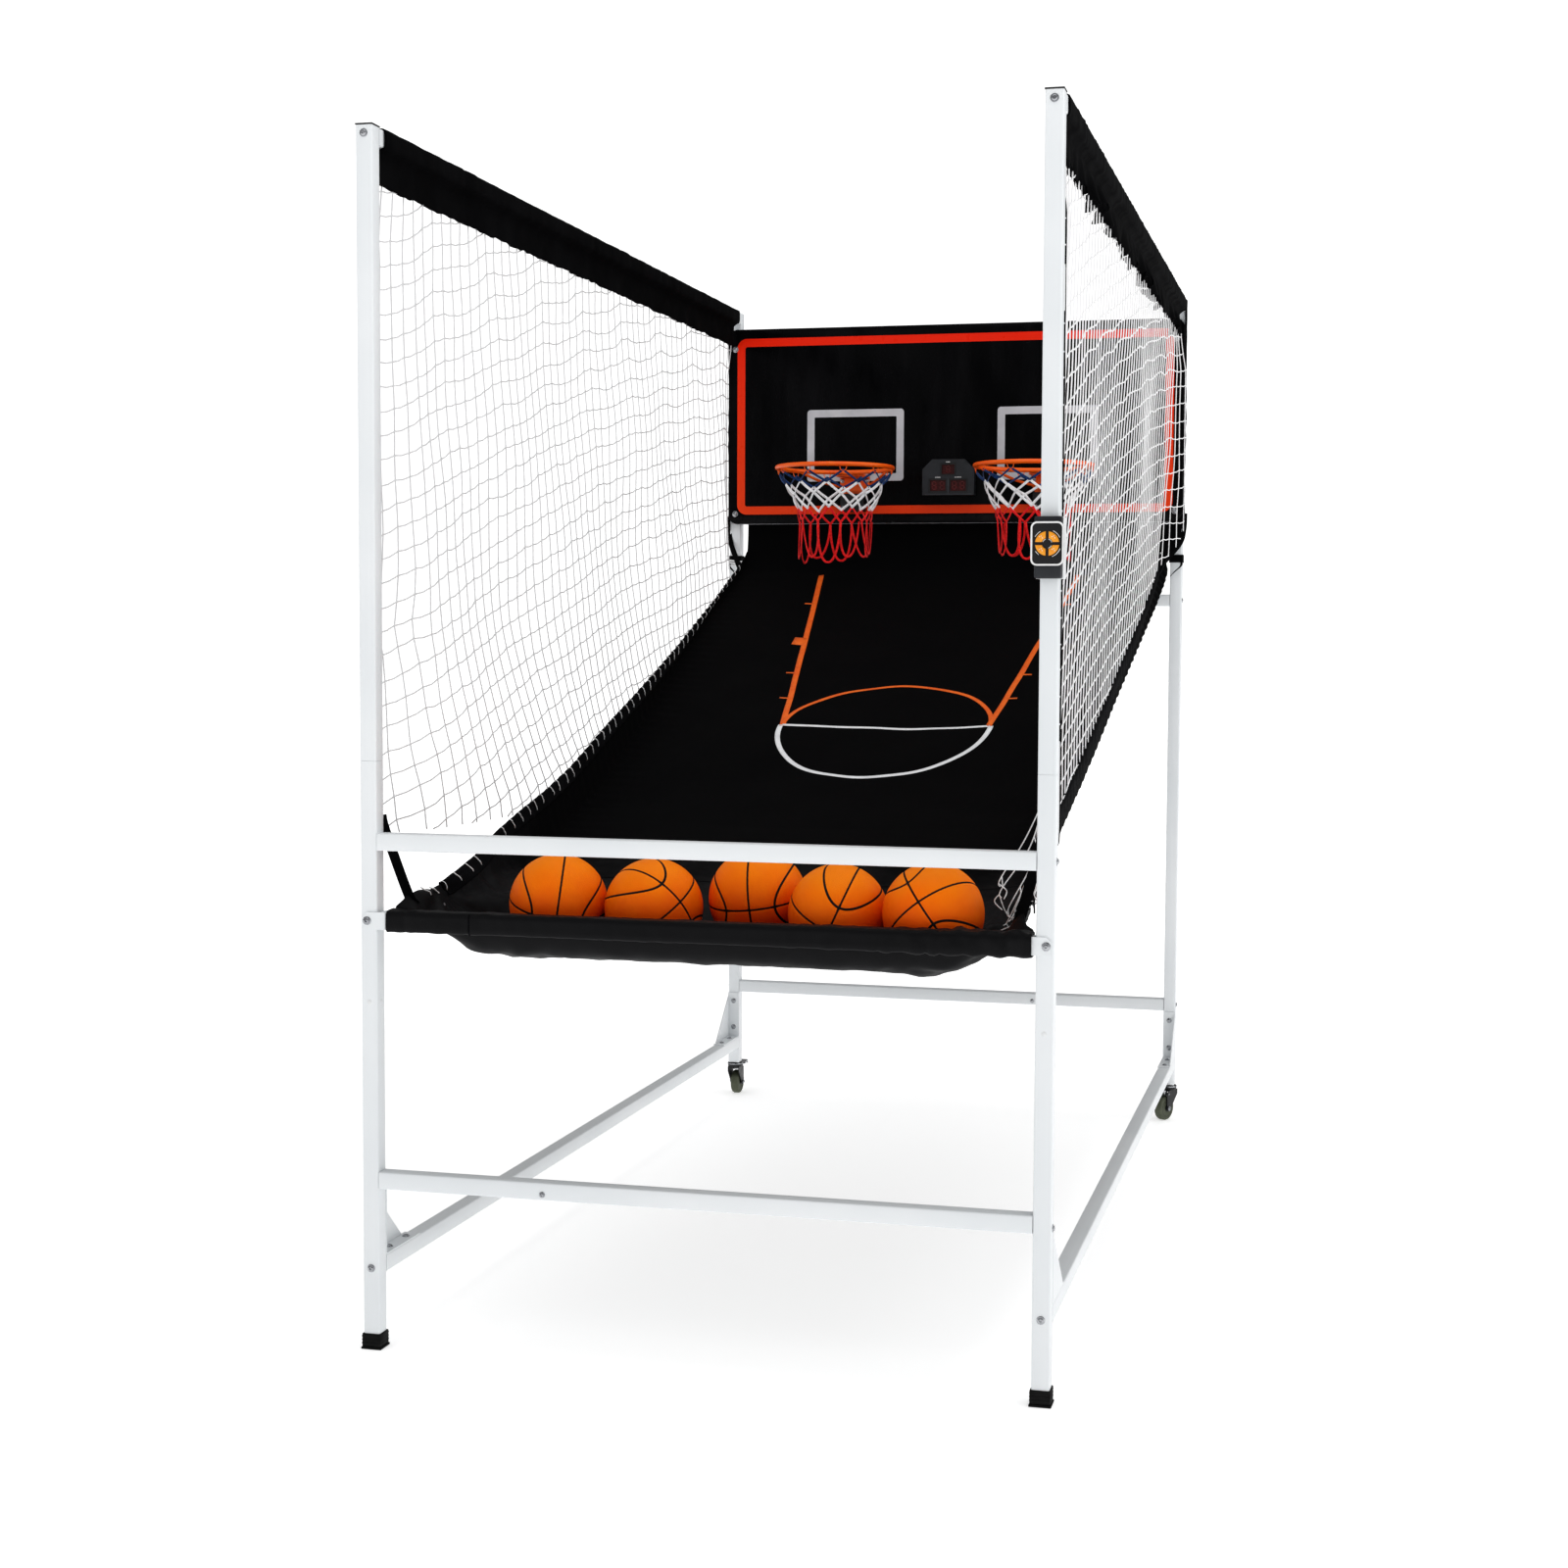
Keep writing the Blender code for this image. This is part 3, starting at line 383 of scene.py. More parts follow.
def ramp_finish():
    """The ramp's cloth: a slightly shiny pocket and sleeve in front, painted lighter than the duller and blacker
    slope behind as painted light on the same cloth.
    """
    made = cloth("ramp_black", (0.003, 0.003, 0.003), (0.004, 0.004, 0.004), 0.0018)
    behind = made.add("SeparateXYZ", {"Vector": made.place}).outputs["Y"]
    drift = made.math("ADD", behind, made.spread(made.noise(11, 4.0), -0.10, 0.10))
    slope = made.spread(drift, 0.0, 1.0, FRONT + 0.34, FRONT + 0.62)
    # Painted light: the same cloth gets a lighter base colour on the pocket and sleeve than on the slope.
    made.set("Base Color", made.between(slope, (0.0062, 0.0062, 0.0072), (0.0026, 0.0026, 0.0031), 0.0, 1.0))
    made.set("Roughness", made.spread(slope, 0.50, 0.80, 0.0, 1.0))
    made.set("Specular IOR Level", made.spread(slope, 0.14, 0.05, 0.0, 1.0))
    return made


# Mesh making


class Shape:
    """Vertices and faces gathered from several forms, made into one piece at the end."""

    def __init__(self):
        self.verts, self.faces, self.count = [], [], 0

    def add(self, verts, faces):
        verts = np.asarray(verts, float).reshape(-1, 3)
        self.verts.append(verts)
        self.faces += [tuple(int(i) + self.count for i in face) for face in faces]
        self.count += len(verts)

    def sweep(self, path, profile, up=None, closed=False):
        """A profile of (across, up) points carried along a path; up is one vector or one for each point."""
        path = np.asarray(path, float)
        if closed:
            along = unit(np.roll(path, -1, 0) - np.roll(path, 1, 0))
        else:
            along = unit(np.gradient(path, axis=0))
        if up is None:
            lift = np.empty_like(path)
            first = np.array([0.0, 0.0, 1.0]) if abs(along[0, 2]) < 0.9 else np.array([1.0, 0.0, 0.0])
            for i, direction in enumerate(along):
                first = unit(first - direction * (first @ direction))
                lift[i] = first
        else:
            lift = np.broadcast_to(np.asarray(up, float), path.shape)
            lift = unit(lift - along * (lift * along).sum(1, keepdims=True))
        across = np.cross(along, lift)
        verts = path[:, None] + across[:, None] * profile[None, :, :1] + lift[:, None] * profile[None, :, 1:]
        count, sides = len(path), len(profile)
        faces = []
        for i in range(count if closed else count - 1):
            a, b = i * sides, (i + 1) % count * sides
            faces += [(a + k, a + (k + 1) % sides, b + (k + 1) % sides, b + k) for k in range(sides)]
        if not closed:
            faces.append(tuple(reversed(range(sides))))
            faces.append(tuple(range((count - 1) * sides, count * sides)))
        self.add(verts, faces)

    def grid(self, points, turn=False):
        """Faces of a sheet of points[row, column]."""
        rows, columns = points.shape[:2]
        faces = []
        for r in range(rows - 1):
            for c in range(columns - 1):
                a, b = r * columns + c, (r + 1) * columns + c
                face = (a, a + 1, b + 1, b)
                faces.append(face[::-1] if turn else face)
        self.add(points, faces)

    def lathe(self, profile, steps, matrix, corner=None):
        """A profile of (radius, height) points turned about the matrix's Z; corner changes the radii."""
        angle = np.arange(steps) * 2 * math.pi / steps
        profile = np.asarray(profile, float)
        radius = np.repeat(profile[None, :, 0], steps, 0)
        if corner is not None:
            radius = corner(angle[:, None], radius)
        height = np.broadcast_to(profile[None, :, 1], radius.shape)
        local = np.stack([radius * np.cos(angle)[:, None], radius * np.sin(angle)[:, None], height], -1)
        place = np.array(matrix)
        verts = local.reshape(-1, 3) @ place[:3, :3].T + place[:3, 3]
        count = len(profile)
        faces = []
        for i in range(steps):
            a, b = i * count, (i + 1) % steps * count
            faces += [(a + k, b + k, b + (k + 1) % count, a + (k + 1) % count) for k in range(count - 1)]
        if profile[0, 0] > 1e-6:
            faces.append(tuple(i * count for i in reversed(range(steps))))
        if profile[-1, 0] > 1e-6:
            faces.append(tuple(i * count + count - 1 for i in range(steps)))
        self.add(verts, faces)

    def piece(self, name, finish, slot, body="frame", sharp=40, replaces=()):
        mesh = bpy.data.meshes.new(name)
        mesh.from_pydata(np.concatenate(self.verts).tolist(), [], self.faces)
        mesh.update()
        return new_piece(name, mesh, finish, body, sharp, replaces)


def new_piece(name, mesh, finish, body="frame", sharp=40, replaces=()):
    obj = bpy.data.objects.new(name, mesh)
    bpy.context.scene.collection.objects.link(obj)
    mesh.materials.append(FINISHES[finish].material)
    mesh.shade_smooth()
    if sharp:
        mesh.set_sharp_from_angle(angle=math.radians(sharp))
    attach(obj, body)
    if replaces:
        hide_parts(*replaces)
    return obj


def unit(vectors):
    return vectors / np.maximum(np.linalg.norm(vectors, axis=-1, keepdims=True), 1e-12)


def oval(width, height, sides):
    angle = np.arange(sides) * 2 * math.pi / sides + math.pi / sides
    return np.stack([np.cos(angle) * width / 2, np.sin(angle) * height / 2], 1)


def facing(place, direction):
    """A matrix at a place whose Z points along a direction."""
    turn = Vector(direction).to_track_quat("Z", "Y").to_matrix().to_4x4()
    return Matrix.Translation(Vector(place)) @ turn


def block(shape, low, high, radius=0.001, segments=2):
    """A box with rounded edges."""
    low, high = Vector(low), Vector(high)
    made = bmesh.new()
    bmesh.ops.create_cube(made, size=1.0)
    for vert in made.verts:
        vert.co = Vector(low[i] + (vert.co[i] + 0.5) * (high[i] - low[i]) for i in range(3))
    bmesh.ops.bevel(
        made, geom=list(made.edges), offset=radius, segments=segments, affect="EDGES", profile=0.5
    )
    made.verts.index_update()
    shape.add([v.co[:] for v in made.verts], [[v.index for v in f.verts] for f in made.faces])
    made.free()


def slab(shape, outline, low, high, axis="Y", holes=(), bevel=0.0):
    """A flat outline of (across, up) points given thickness along an axis, with its holes cut."""
    curve = bpy.data.curves.new("slab", "CURVE")
    curve.dimensions, curve.fill_mode = "2D", "BOTH"
    curve.extrude = (high - low) / 2 - bevel
    curve.bevel_depth = bevel
    curve.bevel_resolution = 1
    curve.offset = -bevel
    for loop in (outline, *holes):
        spline = curve.splines.new("POLY")
        spline.points.add(len(loop) - 1)
        spline.use_cyclic_u = True
        for point, (x, y) in zip(spline.points, loop):
            point.co = (x, y, 0, 1)
    obj = bpy.data.objects.new("slab", curve)
    bpy.context.scene.collection.objects.link(obj)
    bpy.context.view_layer.update()
    mesh = bpy.data.meshes.new_from_object(obj.evaluated_get(bpy.context.evaluated_depsgraph_get()))
    made = bmesh.new()
    made.from_mesh(mesh)
    bmesh.ops.remove_doubles(made, verts=made.verts, dist=0.000005)
    made.verts.index_update()
    centre = (low + high) / 2
    verts = []
    for vert in made.verts:
        x, y, z = vert.co
        verts.append({"Y": (x, centre - z, y), "X": (centre + z, x, y), "Z": (x, y, centre + z)}[axis])
    shape.add(verts, [[v.index for v in f.verts] for f in made.faces])
    made.free()
    bpy.data.objects.remove(obj, do_unlink=True)
    bpy.data.curves.remove(curve)
    bpy.data.meshes.remove(mesh)


def rounded(left, bottom, right, top, radius, steps=5):
    """The outline of a rectangle with rounded corners."""
    points = []
    corners = ((right, top, 0), (left, top, 90), (left, bottom, 180), (right, bottom, 270))
    for x, y, start in corners:
        cx = x - math.copysign(radius, x - (left + right) / 2)
        cy = y - math.copysign(radius, y - (bottom + top) / 2)
        for k in range(steps + 1):
            angle = math.radians(start + 90 * k / steps)
            points.append((cx + radius * math.cos(angle), cy + radius * math.sin(angle)))
    return points


def rounded_box(low, high, inset, radius, steps=5):
    """The rounded outline of a box seen from the front, drawn in by an inset."""
    return rounded(low.x + inset, low.z + inset, high.x - inset, high.z - inset, radius, steps)


def tile(shape, x, z, half, front, back, radius=0.0001, segments=1):
    """A thin block about (x, z), with its half sizes across and up, between two faces."""
    low, high = (x - half[0], front, z - half[1]), (x + half[0], back, z + half[1])
    block(shape, low, high, radius, segments)


WAVES = 14


def ripple(points, wavelength, seed):
    """Smooth uneven values about 0 and mostly within 1, the same for the same seed."""
    random = np.random.default_rng(seed)
    points = np.asarray(points, float)
    directions = unit(random.normal(size=(WAVES, points.shape[-1])))
    lengths = wavelength * random.uniform(0.65, 1.7, WAVES)
    phases = random.uniform(0, 2 * math.pi, WAVES)
    total = np.sin(points @ (2 * math.pi * directions / lengths[:, None]).T + phases).sum(-1)
    return total / math.sqrt(WAVES)


def share(value, start, end):
    """0 before start, 1 after end and even between them; start may be the larger."""
    return np.clip((np.asarray(value, float) - start) / (end - start), 0.0, 1.0)


def eased(value, start, end):
    t = share(value, start, end)
    return t * t * (3 - 2 * t)


def smooth_path(points, steps):
    """A Catmull-Rom curve through points."""
    points = [np.asarray(p, float) for p in points]
    ends = [points[0], *points, points[-1]]
    path = []
    for a, b, c, d in zip(ends, ends[1:], ends[2:], ends[3:]):
        for t in np.arange(steps) / steps:
            square = (2 * a - 5 * b + 4 * c - d) * t**2
            cube = (3 * b - a - 3 * c + d) * t**3
            path.append((2 * b + (c - a) * t + square + cube) / 2)
    path.append(points[-1])
    return np.array(path)


def smooth_nodes():
    """Smooth shading on the CAD nodes that stay, their repeated vertices welded for it."""
    for obj in NODES.values():
        obj.data.shade_smooth()
        weld = obj.modifiers.new("weld", "WELD")
        weld.merge_threshold = 0.00001
        split = obj.modifiers.new("split", "EDGE_SPLIT")
        split.split_angle = math.radians(35)


def paint_nodes():
    """Each CAD node gets the material of its slot in the record."""
    slots = {row["node"]: row["material_slot"] for row in frame["record"]["subparts"]}
    for name, obj in NODES.items():
        finish = FINISHES[slots[name]].material
        obj.data.materials.clear()
        obj.data.materials.append(finish)


# Bolts and screws


def hexagon(angle, radius, socket):
    """Radii up to the socket's follow a hexagon."""
    turned = np.mod(angle, math.pi / 3) - math.pi / 6
    return np.where(radius <= socket, radius / np.cos(turned) * math.cos(math.pi / 6), radius)


def bolt(shape, place, direction, size=1.0):
    """A domed socket-head bolt on its washer."""
    washer, head, socket, top = 0.0072 * size, 0.0054 * size, 0.0023 * size, 0.0038 * size
    profile = [(washer, 0.0), (washer, 0.0008), (washer - 0.0004, 0.0011), (head, 0.0011)]
    profile += [(head * 0.98, top * 0.55), (head * 0.78, top * 0.88), (head * 0.5, top)]
    profile += [(socket * 1.05, top), (socket, top - 0.0004), (socket, 0.0016), (0.0, 0.0015)]
    shape.lathe(profile, 24, facing(place, direction), lambda a, r: hexagon(a, r, socket * 1.01))


FORWARD, BACKWARD, UPWARD = (0, -1, 0), (0, 1, 0), (0, 0, 1)
FRONT_POST_BOLTS = (2.116, 0.145)
REAR_POST_BOLTS = (2.105, 0.150)
SIDE_BOLTS = [(FRONT_POST_Y + 0.004, z) for z in (0.294, 0.898)] + [(REAR_POST_Y, z) for z in (0.302, 1.360)]
GUSSET_SHEET = 0.0025
GUSSET_REACHES = (0.043, 0.113)
GUSSET_HEIGHTS = (0.190, 0.262)
TAB_BOLT_X, TAB_SHEET = 0.5965, 0.0030
BOARD_BOLT_X, BOARD_BOLTS = 0.590, (1.590, 2.030)
CROSSBAR_BOLT_Z = 0.297


def frame_bolts():
    """The bolts of the frame, with its tabs, gussets and backboard."""
    shape = Shape()
    rail_top = middle("base_rail_left").z + TUBE / 2 + GUSSET_SHEET
    for _, sign in SIDES:
        x = sign * POST_X
        for z in FRONT_POST_BOLTS:
            bolt(shape, (x, FRONT, z), FORWARD)
        bolt(shape, (sign * TAB_BOLT_X, FRONT - TAB_SHEET, BALL_RAIL_Z), FORWARD, 1.05)
        for z in REAR_POST_BOLTS:
            bolt(shape, (x, REAR, z), BACKWARD)
        for y, z in SIDE_BOLTS:
            bolt(shape, (sign * (POST_X + TUBE / 2), y, z), (sign, 0, 0), 0.9)
        for start, inward in ((FRONT + TUBE, 1), (REAR - TUBE, -1)):
            for reach in GUSSET_REACHES:
                bolt(shape, (x, start + inward * reach, rail_top), UPWARD, 0.95)
            for z in GUSSET_HEIGHTS:
                bolt(shape, (x, start + inward * GUSSET_SHEET, z), (0, inward, 0), 0.95)
        for z in BOARD_BOLTS:
            bolt(shape, (sign * BOARD_BOLT_X, BOARD_FRONT, z), FORWARD, 1.1)
            bolt(shape, (sign * BOARD_BOLT_X, REAR, z), BACKWARD)
    bolt(shape, (-0.274, FRONT, CROSSBAR_BOLT_Z), FORWARD, 0.75)
    bolt(shape, (0.231, REAR - TUBE, CROSSBAR_BOLT_Z), FORWARD, 0.75)
    shape.piece("frame_bolts", "steel", "steel")


PLUG_Z = 0.618


def post_plugs():
    """Small round plugs in the spare holes of the front posts."""
    shape = Shape()
    profile = [(0.0042, 0.0), (0.0042, 0.0004), (0.0034, 0.0008), (0.0, 0.0009)]
    for _, sign in SIDES:
        shape.lathe(profile, 20, facing((sign * POST_X, FRONT, PLUG_Z), FORWARD))
        place = (sign * (POST_X - TUBE / 2), FRONT_POST_Y, PLUG_Z)
        shape.lathe(profile, 20, facing(place, (-sign, 0, 0)))
    shape.piece("post_hole_plugs", "white_plastic", "white_plastic")


# Feet, caps and casters


# A foot's blocks: half width, bottom, top and radius of the edges
FOOT_BLOCKS = [(0.0190, 0.0, 0.0042, 0.0012), (0.0174, 0.0046, 0.0280, 0.0012)]
FOOT_BLOCKS += [(0.0180, z, z + 0.0022, 0.0008) for z in (0.010, 0.016, 0.022)]


def feet_and_caps():
    """A ribbed rubber foot and a plastic cap on each front post."""

    def on_post(shape, x, half, low, high, radius):
        low_corner = (x - half, FRONT_POST_Y - half, low)
        block(shape, low_corner, (x + half, FRONT_POST_Y + half, high), radius)

    for side, sign in SIDES:
        x = sign * POST_X
        foot, cap = Shape(), Shape()
        for row in FOOT_BLOCKS:
            on_post(foot, x, *row)
        foot.piece("foot_" + side, "black_rubber", "black_rubber", replaces=["rubber_foot_" + side])
        low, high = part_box("post_cap_" + side)
        block(cap, (low.x, low.y, high.z - 0.0027), high, 0.0010, 3)
        inset = Vector((0.004, 0.004, 0))
        block(cap, (low.x + 0.004, low.y + 0.004, high.z - 0.0011), high - inset, 0.0005)
        on_post(cap, x, TUBE / 2 - 0.0016, low.z, high.z - 0.0028, 0.001)
        cap.piece("cap_" + side, "black_plastic", "black_plastic", replaces=["post_cap_" + side])


WHEEL_RADIUS, WHEEL_HALF = 0.0315, 0.0110
AXLE_HALF = 0.0172
RACE_Z = 0.0898
TREAD = [(0.0222, WHEEL_HALF - 0.0006), (0.0236, WHEEL_HALF), (WHEEL_RADIUS - 0.0045, WHEEL_HALF)]
TREAD += [(WHEEL_RADIUS - 0.0016, WHEEL_HALF - 0.0016), (WHEEL_RADIUS, WHEEL_HALF - 0.0048)]
HUB = [(0.0, WHEEL_HALF + 0.0002), (0.0085, WHEEL_HALF), (0.0092, WHEEL_HALF - 0.0006)]
HUB += [(0.0100, WHEEL_HALF - 0.0032), (0.0205, WHEEL_HALF - 0.0034)]
HUB += [(0.0214, WHEEL_HALF - 0.0004), (0.0224, WHEEL_HALF - 0.0004)]
RACE = [(0.0150, -0.0012), (0.0202, -0.0016), (0.0208, -0.0032), (0.0202, -0.0048), (0.0150, -0.0052)]


def casters():
    """Tread, spoked hub, axle nuts and swivel race of each caster."""
    joints = {joint["name"]: joint for joint in frame["joints"]}
    for side, _ in SIDES:
        roll = joints["caster_roll_" + side]
        axle, place = Vector(roll["axis"]), Vector(roll["pos_m"])
        matrix = facing(place, axle)
        wheel, swivel = "caster_wheel_" + side, "caster_swivel_" + side
        tread, hub, nuts, race = Shape(), Shape(), Shape(), Shape()
        tread.lathe(TREAD + [(r, -z) for r, z in reversed(TREAD)], 72, matrix)
        tread.piece("caster_tread_" + side, "tread", "tread", wheel, replaces=[wheel])
        hub.lathe(HUB + [(r, -z) for r, z in reversed(HUB)], 48, matrix)
        for k in range(5):
            spoke = matrix @ Matrix.Rotation(math.radians(72 * k), 4, "Z")
            path = [(spoke @ Vector((r, 0, 0)))[:] for r in (0.0095, 0.0150, 0.0208)]
            hub.sweep(path, oval(0.0035, 2 * WHEEL_HALF - 0.0030, 8), up=axle[:])
        hub.piece("caster_hub_" + side, "black_plastic", "black_plastic", wheel)
        for end in (-1, 1):
            bolt(nuts, place + axle * end * AXLE_HALF, axle * end, 0.85)
        nuts.piece("caster_axle_" + side, "steel", "steel", swivel)
        centre = Vector(joints[swivel]["pos_m"])
        race.lathe(RACE, 48, Matrix.Translation((centre.x, centre.y, RACE_Z)))
        race.piece("caster_race_" + side, "steel", "steel", swivel)


# Backboard and hoops


def ring_between(shape, outer, inner, face, thickness):
    """A flat frame between two outlines with as many points, facing -Y and standing proud of face."""
    count = len(outer)
    verts = []
    for loop, y in ((outer, face), (outer, face - thickness), (inner, face - thickness), (inner, face)):
        verts += [(x, y, z) for x, z in loop]
    faces = []
    for strip in range(3):
        for i in range(count):
            a, b = strip * count + i, strip * count + (i + 1) % count
            faces.append((a, a + count, b + count, b))
    shape.add(verts, [face[::-1] for face in faces])


PRINT_DEPTH = 0.00035
SQUARE_HALF, SQUARE_LOW, SQUARE_HIGH, SQUARE_STROKE = 0.132, 1.675, 1.865, 0.020
BORDER_EDGE, BORDER_STROKE = 0.025, 0.022


def backboard():
    """The board with its printed border and squares, and the strip along its lower edge."""
    low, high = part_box("backboard")
    board, border, squares, trim = Shape(), Shape(), Shape(), Shape()
    slab(board, rounded_box(low, high, 0, 0.024, 8), low.y, high.y, bevel=0.0016)
    board.piece("backboard_panel", "board_black", "board_black", sharp=30, replaces=["backboard"])
    outer = rounded_box(low, high, BORDER_EDGE, 0.026, 10)
    inner = rounded_box(low, high, BORDER_EDGE + BORDER_STROKE, 0.006, 10)
    ring_between(border, outer, inner, low.y, PRINT_DEPTH)
    border.piece("backboard_border", "print_red", "board_black", sharp=30)
    for place in RIM_PLACES.values():
        left, right = place.x - SQUARE_HALF, place.x + SQUARE_HALF
        outer = rounded(left, SQUARE_LOW, right, SQUARE_HIGH, 0.009)
        left, right = left + SQUARE_STROKE, right - SQUARE_STROKE
        inner = rounded(left, SQUARE_LOW + SQUARE_STROKE, right, SQUARE_HIGH - SQUARE_STROKE, 0.002)
        ring_between(squares, outer, inner, low.y, PRINT_DEPTH)
    squares.piece("backboard_squares", "print_grey", "board_black", sharp=30)
    path = [(x, low.y + 0.0075, low.z - 0.0004) for x in np.linspace(low.x + 0.03, high.x - 0.03, 40)]
    trim.sweep(path, oval(0.0135, 0.0016, 8), up=(0, 0, 1))
    trim.piece("backboard_lower_trim", "print_grey", "board_black")


HOOKS = 10
HOOK_ANGLES = [math.radians(360 * k / HOOKS - 68.2) for k in range(HOOKS)]
BRACE_ANGLE = math.radians(52)


def rim_ring(side, place, low, high):
    """The ring, its neck, its back plate and the two braces from the plate to the ring."""
    x, y = place.x, place.y
    shape = Shape()
    angle = np.arange(120) * 2 * math.pi / 120
    circle = np.stack([x + RIM_RADIUS * np.cos(angle), y + RIM_RADIUS * np.sin(angle), 0 * angle + RIM_Z], 1)
    shape.sweep(circle, oval(0.0122, 0.0118, 16), up=(0, 0, 1), closed=True)
    top, back, near = high.z + 0.0003, BOARD_FRONT - 0.0040, y + RIM_RADIUS - 0.004
    neck = [(-0.036, near), (0.036, near), (0.036, BOARD_FRONT - 0.008), (0.034, BOARD_FRONT - 0.006)]
    neck += [(-0.034, BOARD_FRONT - 0.006), (-0.036, BOARD_FRONT - 0.008)]
    slab(shape, [(x + a, b) for a, b in neck], top, top + 0.003, "Z", bevel=0.0006)
    plate = rounded(x - 0.028, low.z + 0.006, x + 0.028, high.z - 0.004, 0.004, 4)
    slab(shape, plate, back - 0.003, back, bevel=0.0006)
    for sign in (-1, 1):
        beside, ahead = RIM_RADIUS * math.sin(BRACE_ANGLE), RIM_RADIUS * math.cos(BRACE_ANGLE)
        start = np.array((x + sign * beside, y + ahead, RIM_Z - 0.002))
        end = np.array((x + sign * 0.022, back - 0.0034, low.z + 0.016))
        bend = start + (end - start) * 0.5 + np.array((0, 0, -0.006))
        shape.sweep(smooth_path([start, bend, end], 8), oval(0.0072, 0.0072, 12))
    shape.piece("rim_ring_" + side, "rim_orange", "rim_orange", replaces=["rim_" + side])


def rim_hooks(side, place):
    """The loops of wire under the ring that carry the net."""
    hooks = Shape()
    for turn in HOOK_ANGLES:
        out = np.array((math.cos(turn), math.sin(turn), 0.0))
        around = np.array((-math.sin(turn), math.cos(turn), 0.0))
        centre = np.array((place.x, place.y, RIM_Z)) + out * RIM_RADIUS
        loop = []
        for angle in np.linspace(0, math.pi, 15):
            bow = max(0.0, math.sin(angle))
            drop = (0, 0, -0.0035 - 0.0135 * bow**0.7)
            loop.append(centre + around * 0.0085 * math.cos(angle) + drop - out * 0.002 * bow)
        hooks.sweep(loop, oval(0.0023, 0.0023, 8))
    hooks.piece("rim_hooks_" + side, "rim_orange", "rim_orange")


def rims():
    for side, place in RIM_PLACES.items():
        low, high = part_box("rim_bracket_" + side)
        rim_ring(side, place, low, high)
        rim_hooks(side, place)
        fittings = Shape()
        neck_y, neck_top = (place.y + RIM_RADIUS + BOARD_FRONT) / 2 + 0.01, high.z + 0.0033
        for sign in (-1, 1):
            bolt(fittings, (place.x + sign * 0.033, BOARD_FRONT - 0.0033, low.z + 0.036), FORWARD, 0.9)
            bolt(fittings, (place.x + sign * 0.020, neck_y, neck_top), UPWARD, 0.9)
        fittings.piece("rim_bolts_" + side, "steel", "steel")


# Each row of the net's joints: height, radius and whether it sits half a step round
NET_ROWS = ((1.6785, 0.1455, 0), (1.652, 0.126, 1), (1.624, 0.113, 0), (1.589, 0.096, 1), (1.556, 0.092, 0))


# Cords between two rows: colour, upper row, steps round to their lower ends, how far they stand off, width
NET_CORDS = (
    ("blue", 0, (0, -1), (0.0008, -0.0008), 0.0060),
    ("white", 1, (0, 1), (0.0010, -0.0006), 0.0070),
    ("white", 2, (0, -1), (0.0010, -0.0006), 0.0070),
    ("red", 3, (0, 1), (0.0008, -0.0008), 0.0060),
)
# Knots of each row: colour and radius
NET_KNOTS = (("blue", 0.0030), ("blue", 0.0034), ("white", 0.0034), ("white", 0.0046), ("red", 0.0034))
CORD_DEPTH = 0.0026


